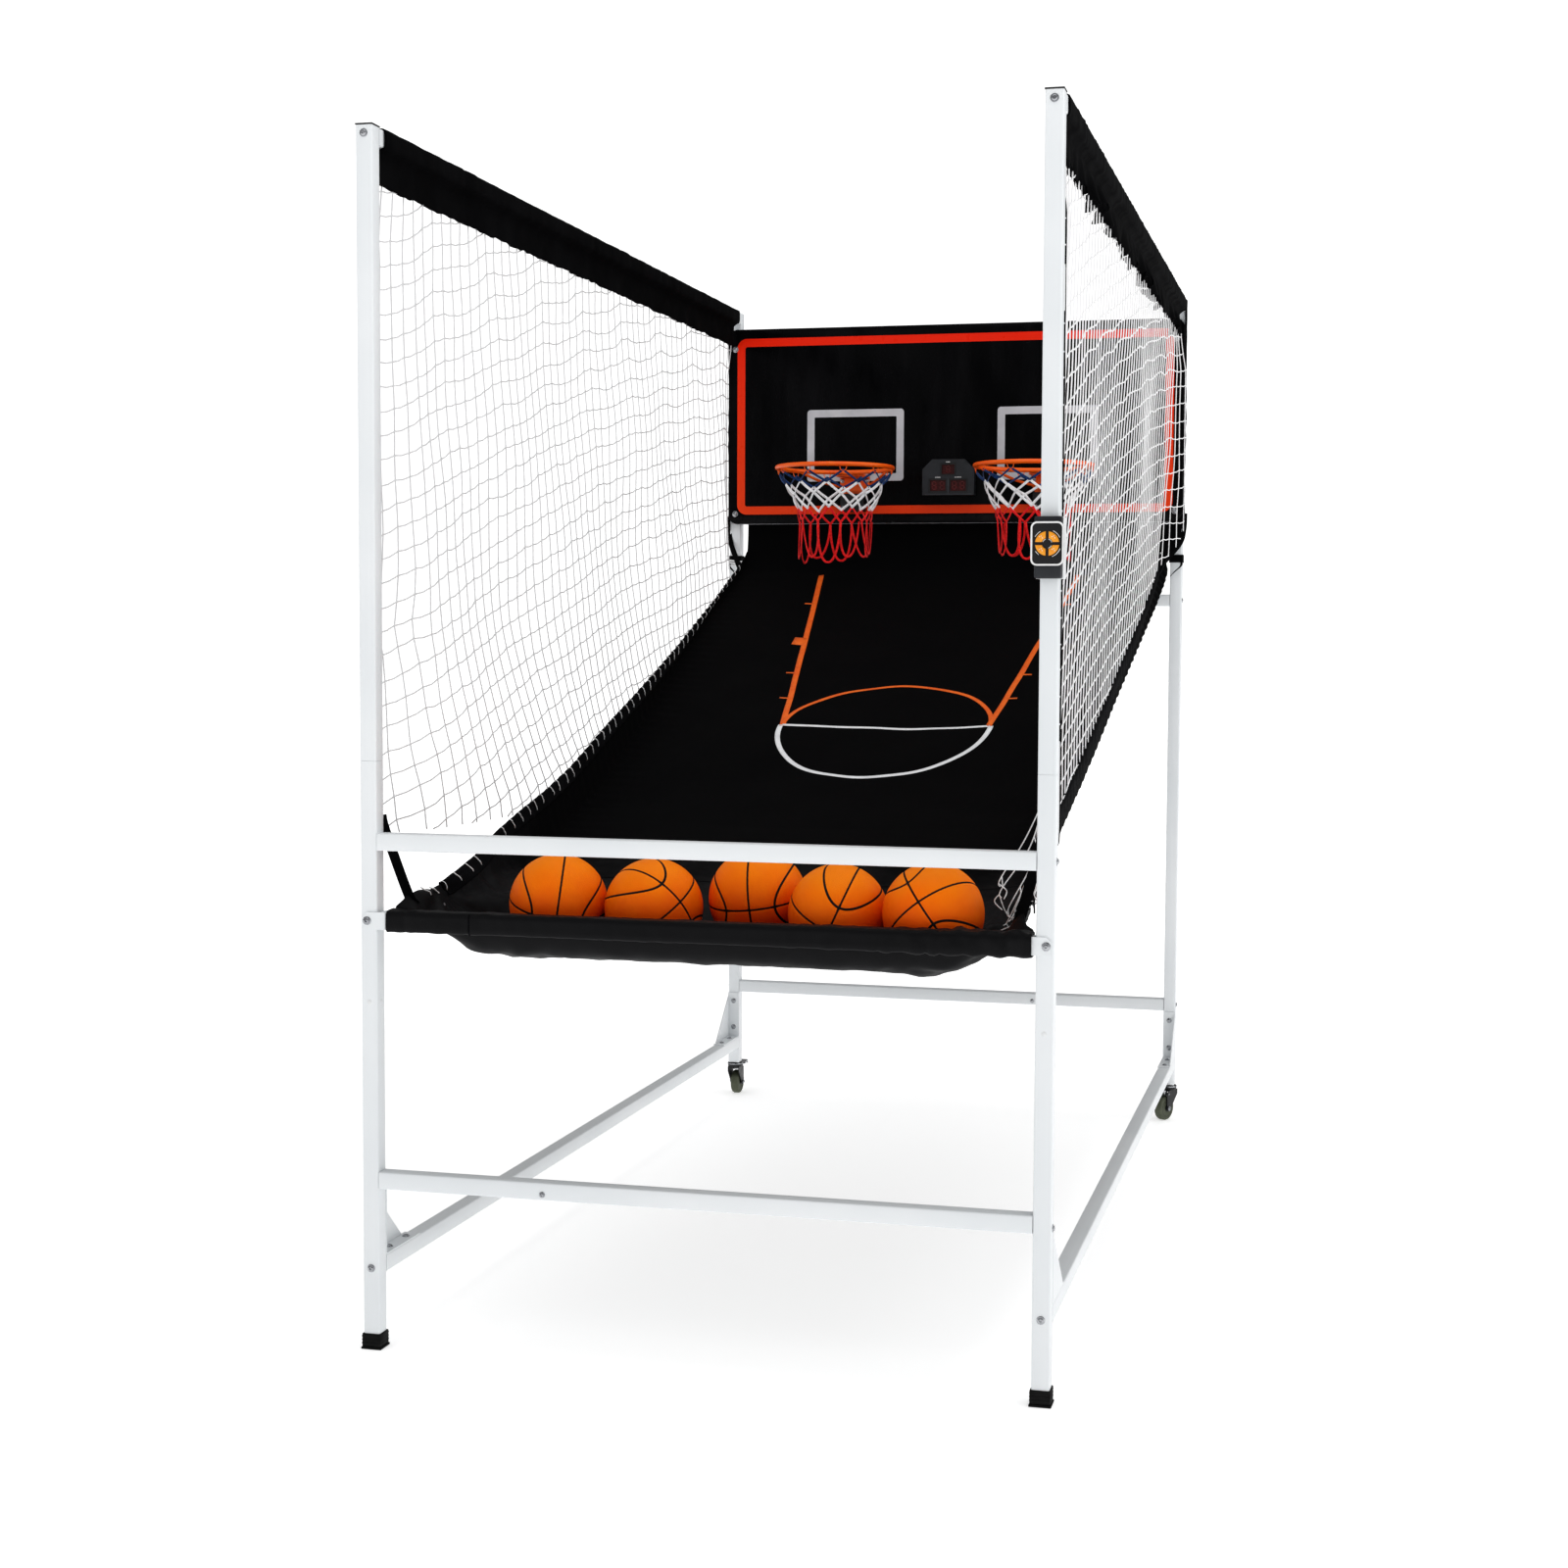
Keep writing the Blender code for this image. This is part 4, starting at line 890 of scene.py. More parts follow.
def hoop_net(side, seed):
    """Two families of slanting cords meeting at joints, with loose loops below."""
    random = np.random.default_rng(seed)
    place = RIM_PLACES[side]
    step = 2 * math.pi / HOOKS
    joints = []
    for height, radius, half in NET_ROWS:
        loose = 0.0 if height > NET_ROWS[1][0] else 1.0
        row = []
        for k in range(HOOKS):
            turn = HOOK_ANGLES[0] + step * (k + half * 0.5) + loose * random.normal(0, 0.018)
            out = radius + loose * random.normal(0, 0.0022)
            row.append((out, turn, height + loose * random.normal(0, 0.0022)))
        joints.append(row)

    def polar(radius, turn, height):
        return np.array((place.x + radius * math.cos(turn), place.y + radius * math.sin(turn), height))

    def between(one, two):
        """The angle from one joint round to another, the short way."""
        return (two[1] - one[1] + math.pi) % (2 * math.pi) - math.pi

    def strand(shape, one, two, width, offset):
        points, ups = [], []
        for t in np.linspace(0, 1, 9):
            bow = math.sin(math.pi * t)
            turn = one[1] + between(one, two) * t
            height = one[2] + (two[2] - one[2]) * t - 0.0016 * bow
            points.append(polar(one[0] + (two[0] - one[0]) * t + offset * bow, turn, height))
            ups.append((math.cos(turn), math.sin(turn), 0.35))
        shape.sweep(points, oval(width, CORD_DEPTH, 10), up=ups)

    def knot(shape, joint, size):
        profile = [(0.0, -0.55), (0.55, -0.45), (0.95, -0.15), (1.0, 0.1), (0.7, 0.45), (0.0, 0.55)]
        matrix = facing(polar(*joint), (math.cos(joint[1]), math.sin(joint[1]), 0))
        shape.lathe([(r * size, h * size) for r, h in profile], 12, matrix)

    def loop(shape, one, two):
        drop, lean, flare = random.uniform(0.078, 0.104), random.normal(0, 0.13), random.normal(0.0, 0.006)
        points, ups = [], []
        for angle in np.linspace(0, math.pi, 25):
            depth = math.sin(angle) ** 0.9
            across = 0.5 - 0.5 * math.copysign(abs(math.cos(angle)) ** 0.9, math.cos(angle))
            turn = one[1] + between(one, two) * (across + lean * depth)
            height = one[2] + (two[2] - one[2]) * across - drop * depth
            points.append(polar(one[0] + flare * depth, turn, height))
            ups.append((math.cos(turn), math.sin(turn), 0.0))
        shape.sweep(points, oval(0.0064, 0.0028, 10), up=ups)

    cords = {"blue": Shape(), "white": Shape(), "red": Shape()}
    for k in range(HOOKS):
        for colour, row, ends, offsets, width in NET_CORDS:
            for end, offset in zip(ends, offsets):
                lower = joints[row + 1][(k + end) % HOOKS]
                strand(cords[colour], joints[row][k], lower, width, offset)
        for row, (colour, size) in zip(joints, NET_KNOTS):
            knot(cords[colour], row[k], size)
        loop(cords["red"], joints[-1][k], joints[-1][(k + 1) % HOOKS])
    for colour, shape in cords.items():
        replaces = ["hoop_net_" + side] if colour == "white" else ()
        shape.piece(f"net_{colour}_{side}", "hoop_" + colour, "net_white", sharp=0, replaces=replaces)


def score_sensors():
    """A case with a round opening, a domed lens and two bolts behind each hoop."""
    for side, _ in SIDES:
        low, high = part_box("score_sensor_" + side)
        x, lens_z = (low.x + high.x) / 2, high.z - 0.022
        case, lens, bolts = Shape(), Shape(), Shape()
        hole = [(x + 0.008 * math.cos(a), lens_z + 0.008 * math.sin(a)) for a in np.arange(24) * math.pi / 12]
        slab(case, rounded_box(low, high, 0, 0.005), low.y, low.y + 0.004, holes=[hole], bevel=0.0008)
        block(case, (low.x, low.y + 0.0042, low.z), high, 0.003, 3)
        case.piece("sensor_case_" + side, "black_plastic", "black_plastic", replaces=["score_sensor_" + side])
        dome = [(0.0076, 0.0), (0.0070, 0.0014), (0.0048, 0.0026), (0.0, 0.0032)]
        lens.lathe(dome, 28, facing((x, low.y + 0.0040, lens_z), FORWARD))
        lens.piece("sensor_lens_" + side, "face_gloss", "black_plastic")
        for sign in (-1, 1):
            bolt(bolts, (x + sign * 0.0245, low.y, low.z + 0.009), FORWARD, 0.85)
        bolts.piece("sensor_bolts_" + side, "steel", "steel")


# Scoreboard and control panel

WINDOWS = ((-0.017, 0.008, 0.017, 0.033), (-0.048, -0.036, -0.006, -0.007), (0.006, -0.036, 0.048, -0.007))


def segment_digit(shape, x, z, height, face):
    """A seven-segment figure of unlit bars."""
    wide, stroke = height * 0.52, height * 0.12
    bars = [(x, z + level * height / 2, wide / 2 - stroke * 0.6, stroke / 2) for level in (-1, 0, 1)]
    for column in (-1, 1):
        across = x + column * wide / 2
        bars += [(across, z + level * height / 4, stroke / 2, height * 0.19) for level in (-1, 1)]
    for across, up, *half in bars:
        tile(shape, across, up, half, face - 0.0004, face, 0.00015)


# Rows of dashes over the windows: place, height and how many
DASHES = ((0.0, 0.0385, 3), (-0.027, -0.0015, 4), (0.027, -0.0015, 5))
DASH_PITCH, DASH_HALF = 0.0036, (0.0013, 0.0011)
SURROUND = 0.0042


def scoreboard():
    """Window surrounds, unlit figures, ribs and dashes on the scoreboard's face."""
    low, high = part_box("scoreboard_housing")
    centre_z, face = (low.z + high.z) / 2, low.y
    window_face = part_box("scoreboard_display_window")[0].y
    surround, digits, ribs, marks = Shape(), Shape(), Shape(), Shape()
    for left, bottom, right, top in WINDOWS:
        low, high = Vector((left, 0, centre_z + bottom)), Vector((right, 0, centre_z + top))
        outer, inner = rounded_box(low, high, -SURROUND, 0.0015, 3), rounded_box(low, high, 0, 0.0008, 3)
        ring_between(surround, outer, inner, face, 0.0008)
        count = 1 if right - left < 0.036 else 2
        for k in range(count):
            x = left + (right - left) * (k + 0.5) / count
            segment_digit(digits, x, centre_z + (bottom + top) / 2, (top - bottom) * 0.66, window_face)
    surround.piece("scoreboard_surrounds", "black_plastic", "grey_plastic")
    digits.piece("scoreboard_figures", "display_bars", "display_red")
    tile(ribs, 0, centre_z - 0.023, (0.0012, 0.020), face - 0.0012, face, 0.0004, 2)
    tile(ribs, 0, centre_z - 0.04475, (0.062, 0.00075), face - 0.0007, face, 0.0003, 2)
    ribs.piece("scoreboard_ribs", "grey_light", "grey_plastic")
    for x, z, dashes in DASHES:
        for k in range(dashes):
            across = x + (k - dashes / 2) * DASH_PITCH + DASH_HALF[0]
            tile(marks, across, centre_z + z + DASH_HALF[1], DASH_HALF, face - 0.0003, face)
    marks.piece("scoreboard_marks", "print_white", "grey_plastic")


def quadrant(turn):
    """A quarter of a ring, with a gap left on both sides of it."""
    outer, inner, half_gap = 0.0195, 0.0088, 0.0024
    start, end = math.radians(turn), math.radians(turn + 90)
    wide, tight = math.asin(half_gap / outer), math.asin(half_gap / inner)
    loop = [(outer, angle) for angle in np.linspace(start + wide, end - wide, 14)]
    loop += [(inner, angle) for angle in np.linspace(end - tight, start + tight, 8)]
    return [(radius * math.cos(angle), radius * math.sin(angle)) for radius, angle in loop]


# Arcs printed on the face: middle angle, start and end from it, and radius
PANEL_ARCS = (
    (45, -20, 20, 0.0222), (135, -16, 16, 0.0222), (225, -12, 8, 0.0222), (315, -24, 24, 0.0222),
    (45, -30, 30, 0.0074), (135, -26, 26, 0.0074), (315, -30, 20, 0.0074),
)
KEYS = (("upper_right", 0), ("upper_left", 90), ("lower_left", 180), ("lower_right", 270))
KEY_DOTS = ((-0.0022, 0.0008), (0.0006, 0.0018), (0.0024, -0.0012))
KEY_MIDDLE, DOT_HALF = 0.0142, 0.0007


def control_panel():
    """The panel's rim, printed arcs, four keys with their dots, and the clamp's screws."""
    low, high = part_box("control_faceplate")
    x, z, face = (low.x + high.x) / 2, (low.z + high.z) / 2, low.y
    rim, marks, screws = Shape(), Shape(), Shape()
    outer, inner = rounded_box(low, high, -0.0002, 0.0102, 10), rounded_box(low, high, 0.0026, 0.0078, 10)
    ring_between(rim, outer, inner, face, 0.0009)
    rim.piece("control_rim", "print_white", "white_plastic", sharp=30)
    for turn, start, end, radius in PANEL_ARCS:
        angles = np.radians(turn + np.linspace(start, end, 10))
        path = [(x + radius * math.cos(a), face - 0.0001, z + radius * math.sin(a)) for a in angles]
        marks.sweep(path, oval(0.0011, 0.0006, 6), up=(0, 1, 0))
    marks.piece("control_marks", "print_white", "black_plastic")
    for name, turn in KEYS:
        node, body = "control_button_" + name, "button_" + name
        low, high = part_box(node)
        key, symbol = Shape(), Shape()
        slab(key, [(x + a, z + b) for a, b in quadrant(turn)], low.y, high.y, bevel=0.0009)
        key.piece("key_" + name, "button_orange", "button_orange", body, 30, [node])
        middle_turn = math.radians(turn + 45)
        cx, cz = x + KEY_MIDDLE * math.cos(middle_turn), z + KEY_MIDDLE * math.sin(middle_turn)
        for a, b in KEY_DOTS:
            tile(symbol, cx + a, cz + b, (DOT_HALF, DOT_HALF), low.y - 0.0002, low.y + 0.0004)
        symbol.piece("key_mark_" + name, "print_white", "button_orange", body)
    low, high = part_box("control_clamp")
    for level in (-0.036, 0.036):
        bolt(screws, (x, high.y, (low.z + high.z) / 2 + level), BACKWARD, 0.8)
    screws.piece("control_screws", "steel", "steel")


# Balls

# How each ball has rolled, in degrees about X, Y and Z
BALL_TURNS = ((14, 8, 20), (-20, 52, 35), (8, -6, 5), (30, -62, -25), (-30, 48, -30))


SEAM_OVAL = (0.866, 0.60)
SEAM_DEPTH, SEAM_REACH = 0.0085, 0.024


def seam_lines():
    """Two great circles and two ovals, on a ball of radius 1."""
    t = np.arange(160) * 2 * math.pi / 160
    zero, one, two = 0 * t, np.cos(t), np.sin(t)
    y, z = SEAM_OVAL[0] * one, SEAM_OVAL[1] * two
    x = np.sqrt(np.maximum(0, 1 - y**2 - z**2))
    return [np.stack(line, 1) for line in ((zero, one, two), (one, two, zero), (x, y, z), (-x, y, z))]


def seam_depth(points):
    """1 on a seam, falling to 0 a little way off it, for points on a ball of radius 1."""
    round_oval = np.sqrt((points[:, 1] / SEAM_OVAL[0]) ** 2 + (points[:, 2] / SEAM_OVAL[1]) ** 2)
    near = np.minimum.reduce([abs(points[:, 0]), abs(points[:, 2]), abs(round_oval - 1) * 0.62])
    return np.exp(-((near / SEAM_REACH) ** 2))


def balls():
    lines = seam_lines()
    for number, turn in enumerate(BALL_TURNS, 1):
        body, node = f"ball_{number}", f"basketball_{number}"
        mesh = bpy.data.meshes.new(body)
        made = bmesh.new()
        bmesh.ops.create_icosphere(made, subdivisions=6, radius=1.0)
        made.to_mesh(mesh)
        made.free()
        points = unit(np.array([v.co[:] for v in mesh.vertices]))
        points *= (BALL_RADIUS * (1 - SEAM_DEPTH * seam_depth(points)))[:, None]
        mesh.vertices.foreach_set("co", points.astype(np.float32).ravel())
        mesh.update()
        matrix = Matrix.Translation(middle(node))
        for axis, angle in zip("ZYX", reversed(turn)):
            matrix = matrix @ Matrix.Rotation(math.radians(angle), 4, axis)
        ball = new_piece(f"ball_skin_{number}", mesh, "ball_orange", body, 0, [node])
        seams = Shape()
        for line in lines:
            seams.sweep(line * (BALL_RADIUS - 0.0009), oval(0.0046, 0.0018, 8), up=line, closed=True)
        strips = seams.piece(f"ball_seams_{number}", "black_rubber", "ball_orange", body, 0)
        for piece in (ball, strips):
            piece.matrix_world = matrix
            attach(piece, body)


# Ramp cloth: the machine's side view, as distance behind the front and height

HALF_WIDTH = 0.560
WRAP = 0.0018
RAIL_SINK = 0.0015
POCKET = [(0.0370, 0.7720), (0.0440, 0.7350), (0.0640, 0.7060), (0.1000, 0.6950), (0.1600, 0.6930)]
POCKET += [(0.2200, 0.7020), (0.2800, 0.7300), (0.3600, 0.7700)]
SLOPE = [(0.60, 0.833), (1.00, 0.955), (1.40, 1.112), (1.80, 1.275), (2.15, 1.412), (2.235, 1.455)]
BACK_FLAP = [(2.2635, 1.520), (2.2645, 1.640)]


def evenly(path, step):
    """Points a step apart along a path, and how far along it each one is."""
    path = np.asarray(path, float)
    lengths = np.concatenate([[0], np.cumsum(np.linalg.norm(np.diff(path, axis=0), axis=1))])
    count = max(2, int(round(lengths[-1] / step)) + 1)
    along = np.linspace(0, lengths[-1], count)
    return np.stack([np.interp(along, lengths, path[:, i]) for i in range(path.shape[1])], 1), along


def sleeve_round_rail():
    """The sleeve round the ball rail, from its hem behind the rail to its top, with rounded corners."""
    half, radius = TUBE / 2 + WRAP, 0.0045
    front, back = -RAIL_SINK - WRAP, TUBE - RAIL_SINK + WRAP
    low, high = BALL_RAIL_Z - half, BALL_RAIL_Z + half
    points = [(back, low + 0.012), (back, low + radius)]
    corners = ((back - radius, low + radius), (front + radius, low + radius), (front + radius, high - radius))
    for number, (cx, cz) in enumerate(corners):
        for k in range(5):
            angle = math.radians(-90 * (number + k / 4))
            points.append((cx + radius * math.cos(angle), cz + radius * math.sin(angle)))
    return [*points, (back - 0.003, high)]


SIDE_VIEW = np.array([*sleeve_round_rail(), *smooth_path(POCKET + SLOPE + BACK_FLAP, 24)])
SIDE_POINTS, SIDE_ALONG = evenly(SIDE_VIEW, 0.002)


def along_at(distance):
    """How far along the side view the ramp is at a distance behind the front."""
    behind_rail = SIDE_ALONG > SIDE_ALONG[-1] - 2.60
    return np.interp(distance, SIDE_POINTS[behind_rail, 0], SIDE_ALONG[behind_rail])


# The share of the cloth's width that lies within the feet of its raised edges
FOOT = 0.953
# The raised edges: distance behind the front, half width and height of the edge, half width at its foot
EDGES = np.array([
    (0.036, 0.5600, 0.782, 0.5337), (0.052, 0.5540, 0.794, 0.5280), (0.066, 0.5500, 0.806, 0.5242),
    (0.085, 0.5490, 0.805, 0.5232), (0.150, 0.5450, 0.803, 0.5194), (0.212, 0.5400, 0.811, 0.5146),
    (0.273, 0.5340, 0.826, 0.5090), (0.336, 0.5300, 0.847, 0.5055), (0.423, 0.5280, 0.881, 0.5040),
    (0.540, 0.5270, 0.912, 0.5040), (0.680, 0.5270, 0.944, 0.5055), (0.820, 0.5280, 0.982, 0.5090),
    (0.940, 0.5315, 1.020, 0.5130), (1.080, 0.5355, 1.066, 0.5190), (1.260, 0.5390, 1.121, 0.5290),
    (1.420, 0.5420, 1.173, 0.5380), (1.600, 0.5475, 1.231, 0.5490), (1.760, 0.5535, 1.286, 0.5600),
    (1.960, 0.5590, 1.356, 0.5720), (2.120, 0.5600, 1.418, 0.5790), (2.200, 0.5600, 1.452, 0.5790),
    (2.245, 0.5600, 1.480, 0.5700), (2.262, 0.5600, 1.500, 0.5337),
])


def edge_at(distance, column):
    """Half width (1), height (2) or half width at the foot (3) of the cloth's raised edge."""
    return np.interp(distance, EDGES[:, 0], EDGES[:, column])


def ramp_x(distance, across):
    """How far to the side the cloth is: evenly out to the foot of its edge, then to the edge itself."""
    edge, foot = edge_at(distance, 1), edge_at(distance, 3)
    reach = abs(across)
    inner = np.minimum(reach, FOOT) / FOOT * foot
    edge = edge + 0.0125 * share(distance, 0.046, 0.034) * (np.asarray(across) > 0)
    return np.sign(across) * (inner + np.maximum(reach - FOOT, 0) / (1 - FOOT) * (edge - foot))


def ramp_lift(distance, height, across):
    """How far the cloth rises above its centre line, towards its laced edges, less its sag between them."""
    reach = abs(across)
    in_pocket = share(distance, 0.50, 0.28)
    wall = share(reach, FOOT, 1.0) ** 1.25 * (1 - in_pocket) + share(reach, 0.68, 1.0) ** 2.2 * in_pocket
    rise = np.maximum(0.0, edge_at(distance, 2) - height)
    sag = 0.022 * (1 - across**2) * share(distance, 0.40, 0.80) * share(distance, 2.235, 1.85)
    return np.where((distance < 0.036) | (height > 1.48), 0.0, rise * wall - sag)


def ramp_point(along, across):
    """A point of the smooth cloth; across runs from -1 to 1."""
    distance = np.interp(along, SIDE_ALONG, SIDE_POINTS[:, 0])
    height = np.interp(along, SIDE_ALONG, SIDE_POINTS[:, 1])
    across = np.asarray(across, float)
    lifted = height + ramp_lift(distance, height, across)
    return np.stack(np.broadcast_arrays(ramp_x(distance, across), FRONT + distance, lifted), -1)


def station_at(along, depth):
    """The place across the ramp that lies a depth in from its edge, measured on the cloth."""
    stations = np.linspace(1.0, 0.80, 81)
    along = np.atleast_1d(np.asarray(along, float))
    points = ramp_point(along[:, None], stations[None, :])
    steps = np.linalg.norm(np.diff(points, axis=1), axis=-1)
    reach = np.concatenate([np.zeros((len(along), 1)), np.cumsum(steps, 1)], 1)
    return np.array([np.interp(depth, row, stations) for row in reach])


def ramp_normal(along, across):
    step = 0.004
    ahead = ramp_point(along + step, across) - ramp_point(along - step, across)
    beside = ramp_point(along, across + step) - ramp_point(along, across - step)
    return unit(np.cross(beside, ahead))


def ramp_wrinkles(along, across):
    """How far the cloth stands off its smooth shape."""
    along, across = np.broadcast_arrays(np.asarray(along, float), np.asarray(across, float))
    distance = np.interp(along, SIDE_ALONG, SIDE_POINTS[:, 0])
    height = np.interp(along, SIDE_ALONG, SIDE_POINTS[:, 1])
    x, reach = across * HALF_WIDTH, abs(across)
    flat = np.stack([x, along], -1)
    on_sleeve = share(distance, 0.040, 0.030) * share(height, 0.70, 0.74)
    on_slope = share(distance, 0.30, 0.55) * share(height, 1.50, 1.42)
    in_pocket = share(distance, 0.040, 0.075) * share(distance, 0.46, 0.30)
    broad = 0.0026 * ripple(flat, 0.42, 3) + 0.0009 * ripple(flat, 0.13, 4)
    scallop = 0.0016 * np.cos(2 * math.pi * along / 0.041) * share(reach, 0.78, 0.95)
    total = on_slope * (broad * share(reach, 0.97, 0.80) + scallop)
    creases = 0.0030 * ripple(flat * (1.0, 0.55), 0.075, 5) + 0.0016 * ripple(flat, 0.035, 6)
    total += in_pocket * creases * (0.35 + 0.65 * share(reach, 0.35, 0.85))
    corner_along = float(along_at(0.17))
    for sign in (-1, 1):
        out = x - sign * HALF_WIDTH
        bearing = np.arctan2(along - corner_along, -out * sign)
        fan = np.cos(bearing * 13 + sign * 0.6) * 0.0045
        fan *= np.exp(-((np.hypot(out, along - corner_along) - 0.11) / 0.09) ** 2)
        total += fan * share(distance, 0.05, 0.09) * share(distance, 0.42, 0.28)
    pull = 0.35 + 1.50 * share(x, 0.12, 0.50) + 0.45 * share(x, -0.30, -0.50)
    folds = abs(ripple(flat * (1.0, 0.55), 0.045, 8)) * 0.0021
    return total + on_sleeve * pull * (folds + 0.0004)


def ramp_cloth(along, across, off=0.0):
    """Points of the wrinkled cloth, off it by a distance along its normal."""
    along, across = np.broadcast_arrays(np.asarray(along, float), np.asarray(across, float))
    normal = ramp_normal(along, across)
    return ramp_point(along, across) + normal * (ramp_wrinkles(along, across) + off)[..., None]


def thicken(obj, thickness):
    made = obj.modifiers.new("thickness", "SOLIDIFY")
    made.thickness = thickness
    made.offset = 0
    return obj


def sheet_piece(name, points, finish, thickness, replaces=(), turn=False):
    """A cloth piece of the frame from a grid of points."""
    shape = Shape()
    shape.grid(points, turn)
    return thicken(shape.piece(name, finish, "black_fabric", "frame", 0, replaces), thickness)


def hem_stand(distance, sign):
    """How far the hem stands above the cloth's edge: more on the right side, where it is pulled up."""
    return np.interp(distance, (0.25, 0.60, 1.40, 2.00), (0.0, 0.016, 0.020, 0.030)) * (sign > 0)


def hem(side, sign, along):
    """The band along a laced edge: over the cloth, up to the hem's top and folded down outside."""
    inner = station_at(along, 0.026)[:, None]
    stations = (inner + (1 - inner) * np.linspace(0, 1, 10)[None, :]) * sign
    band = ramp_cloth(along[:, None], stations, 0.0020)
    stand = hem_stand(band[:, -1, 1] - FRONT, sign)[:, None, None] * (0, 0, 1.0)
    band[:, -1] += (0, 0, 0.0020)
    top = band[:, -1:] + stand
    fold = top + (sign * 0.0044, 0, 0.0)
    drop = fold + (sign * 0.0006, 0, -0.020) - stand
    points = np.concatenate([band, top, fold, drop], 1)
    piece = sheet_piece("ramp_hem_" + side, points, "hem_fabric", 0.0012, turn=sign < 0)


def ramp():
    """The ramp's cloth with its pocket and rail sleeve, its two hems and its seams."""
    pocket_end, end = float(along_at(0.45)), SIDE_ALONG[-1]
    along = np.concatenate([np.arange(0, pocket_end, 0.0045), np.arange(pocket_end, end, 0.011), [end]])
    margin = np.linspace(0.93, 1, 12)
    across = np.concatenate([-margin[::-1], np.linspace(-0.92, 0.92, 131), margin])
    points = ramp_cloth(along[:, None], across[None, :])
    body = sheet_piece("ramp_cloth", points, "ramp_black", 0.0018, replaces=["ramp_fabric"])
    hem_along = np.arange(float(along_at(0.19)), float(along_at(2.19)), 0.010)
    for side, sign in SIDES:
        hem(side, sign, hem_along)
    seams = Shape()
    seam_path = ramp_cloth(np.linspace(0.014, 0.075, 14), np.full(14, -0.405 / HALF_WIDTH), 0.0012)
    seams.sweep(seam_path, oval(0.0030, 0.0010, 6), up=(0, -1, 0))
    for depth in (0.003, 0.024):
        for _, sign in SIDES:
            path = ramp_cloth(hem_along, sign * station_at(hem_along, depth), 0.0029)
            seams.sweep(path, oval(0.0009, 0.0007, 6))
    cross_seam = ramp_cloth(np.full(90, float(along_at(0.47))), np.linspace(-0.93, 0.93, 90), 0.0011)
    seams.sweep(cross_seam, oval(0.0035, 0.0009, 6))
    seams.piece("ramp_seams", "hem_fabric", "black_fabric", sharp=0)


# Lane markings: across the machine and behind its front

LANE_LEFT = ((-0.333, 2.180), (-0.202, 1.306))
LANE_RIGHT = ((0.352, 2.180), (0.2715, 1.317))


def flat_strip(shape, line, width):
    """A printed strip on the ramp along a line of (across, behind the front) points."""
    line, _ = evenly(line, 0.012)
    along = along_at(line[:, 1])
    flat = np.stack([line[:, 0], along], 1)
    direction = unit(np.gradient(flat, axis=0))
    beside = np.stack([-direction[:, 1], direction[:, 0]], 1)
    rows = []
    for offset in np.linspace(-width / 2, width / 2, 4):
        place = flat + beside * offset
        rows.append(ramp_cloth(place[:, 1], place[:, 0] / edge_at(line[:, 1], 3) * FOOT, 0.0015))
    shape.grid(np.array(rows))


# Short marks beside the lane's lines: distance behind the front, length and width
LANE_TICKS = ((2.00, 0.026, 0.007), (1.592, 0.026, 0.007), (1.460, 0.026, 0.007), (1.775, 0.030, 0.046))
CIRCLE_X, CIRCLE_DISTANCE, CIRCLE_RADIUS = 0.0348, 1.3115, 0.2385


def lane_arc(shape, start, end, wide, deep, width):
    angles = np.radians(np.linspace(start, end, 60))
    line = [(CIRCLE_X + wide * math.cos(a), CIRCLE_DISTANCE + deep * math.sin(a)) for a in angles]
    flat_strip(shape, line, width)


def lane():
    """The lane's orange lines and marks, its circle and the white line across it."""
    orange, white = Shape(), Shape()
    for ends, inward in ((LANE_LEFT, -1), (LANE_RIGHT, 1)):
        flat_strip(orange, ends, 0.014)
        (far_x, far_y), (near_x, near_y) = ends
        for distance, length, width in LANE_TICKS:
            x = near_x + (far_x - near_x) * (distance - near_y) / (far_y - near_y)
            flat_strip(orange, [(x, distance), (x + inward * length, distance)], width)
    lane_arc(orange, 0, 180, CIRCLE_RADIUS, CIRCLE_RADIUS * 0.93, 0.011)
    lane_arc(white, 180, 360, CIRCLE_RADIUS + 0.003, CIRCLE_RADIUS, 0.012)
    ends = [(CIRCLE_X - CIRCLE_RADIUS, CIRCLE_DISTANCE), (CIRCLE_X + CIRCLE_RADIUS, CIRCLE_DISTANCE)]
    flat_strip(white, ends, 0.010)
    for name, shape in (("lane_orange", orange), ("lane_white", white)):
        thicken(shape.piece(name, name, "black_fabric", sharp=0), 0.0003)


# Side nets

NET_PITCH = 0.0415
NET_TOP, NET_FRONT, NET_BACK = 2.0420, 0.036, 2.2720
NET_CORD = 0.0028
NET_OUT = POST_X + 0.0018
BESIDE_POST = POST_X + TUBE / 2 - 0.0012


def net_node(column, row, seed):
    """Where two strands cross: distance behind the front and height."""
    start = NET_FRONT + column * NET_PITCH
    base = NET_TOP - 0.018 - row * 0.043
    height = base + 0 * start
    slack = 0.016 if seed == 0 else 0.005
    for _ in range(12):
        drop = NET_TOP - height
        spread = 0.60 * share(drop, 0.70, 1.10) ** 2 + 0.02 * drop
        distance = start + spread * 0.35 * (1 - np.exp(-(start - NET_FRONT) / 0.35))
        run = distance - NET_FRONT
        dip = np.sin(math.pi * np.mod(column / 6.3 + 0.13 * seed, 1.0)) ** 2
        height = base + 0.325 * run - 0.047 * run**2 - slack * share(height, 1.50, 2.0) * dip
    kink = np.exp(-(((height - 1.275) / 0.05) ** 2)) * share(distance, 0.45, 0.05)
    flat = np.stack([distance, height], -1)
    distance = distance + 0.0028 * ripple(flat, 0.16, 20 + seed) - 0.014 * kink
    return distance, height + 0.0032 * ripple(flat, 0.13, 30 + seed)


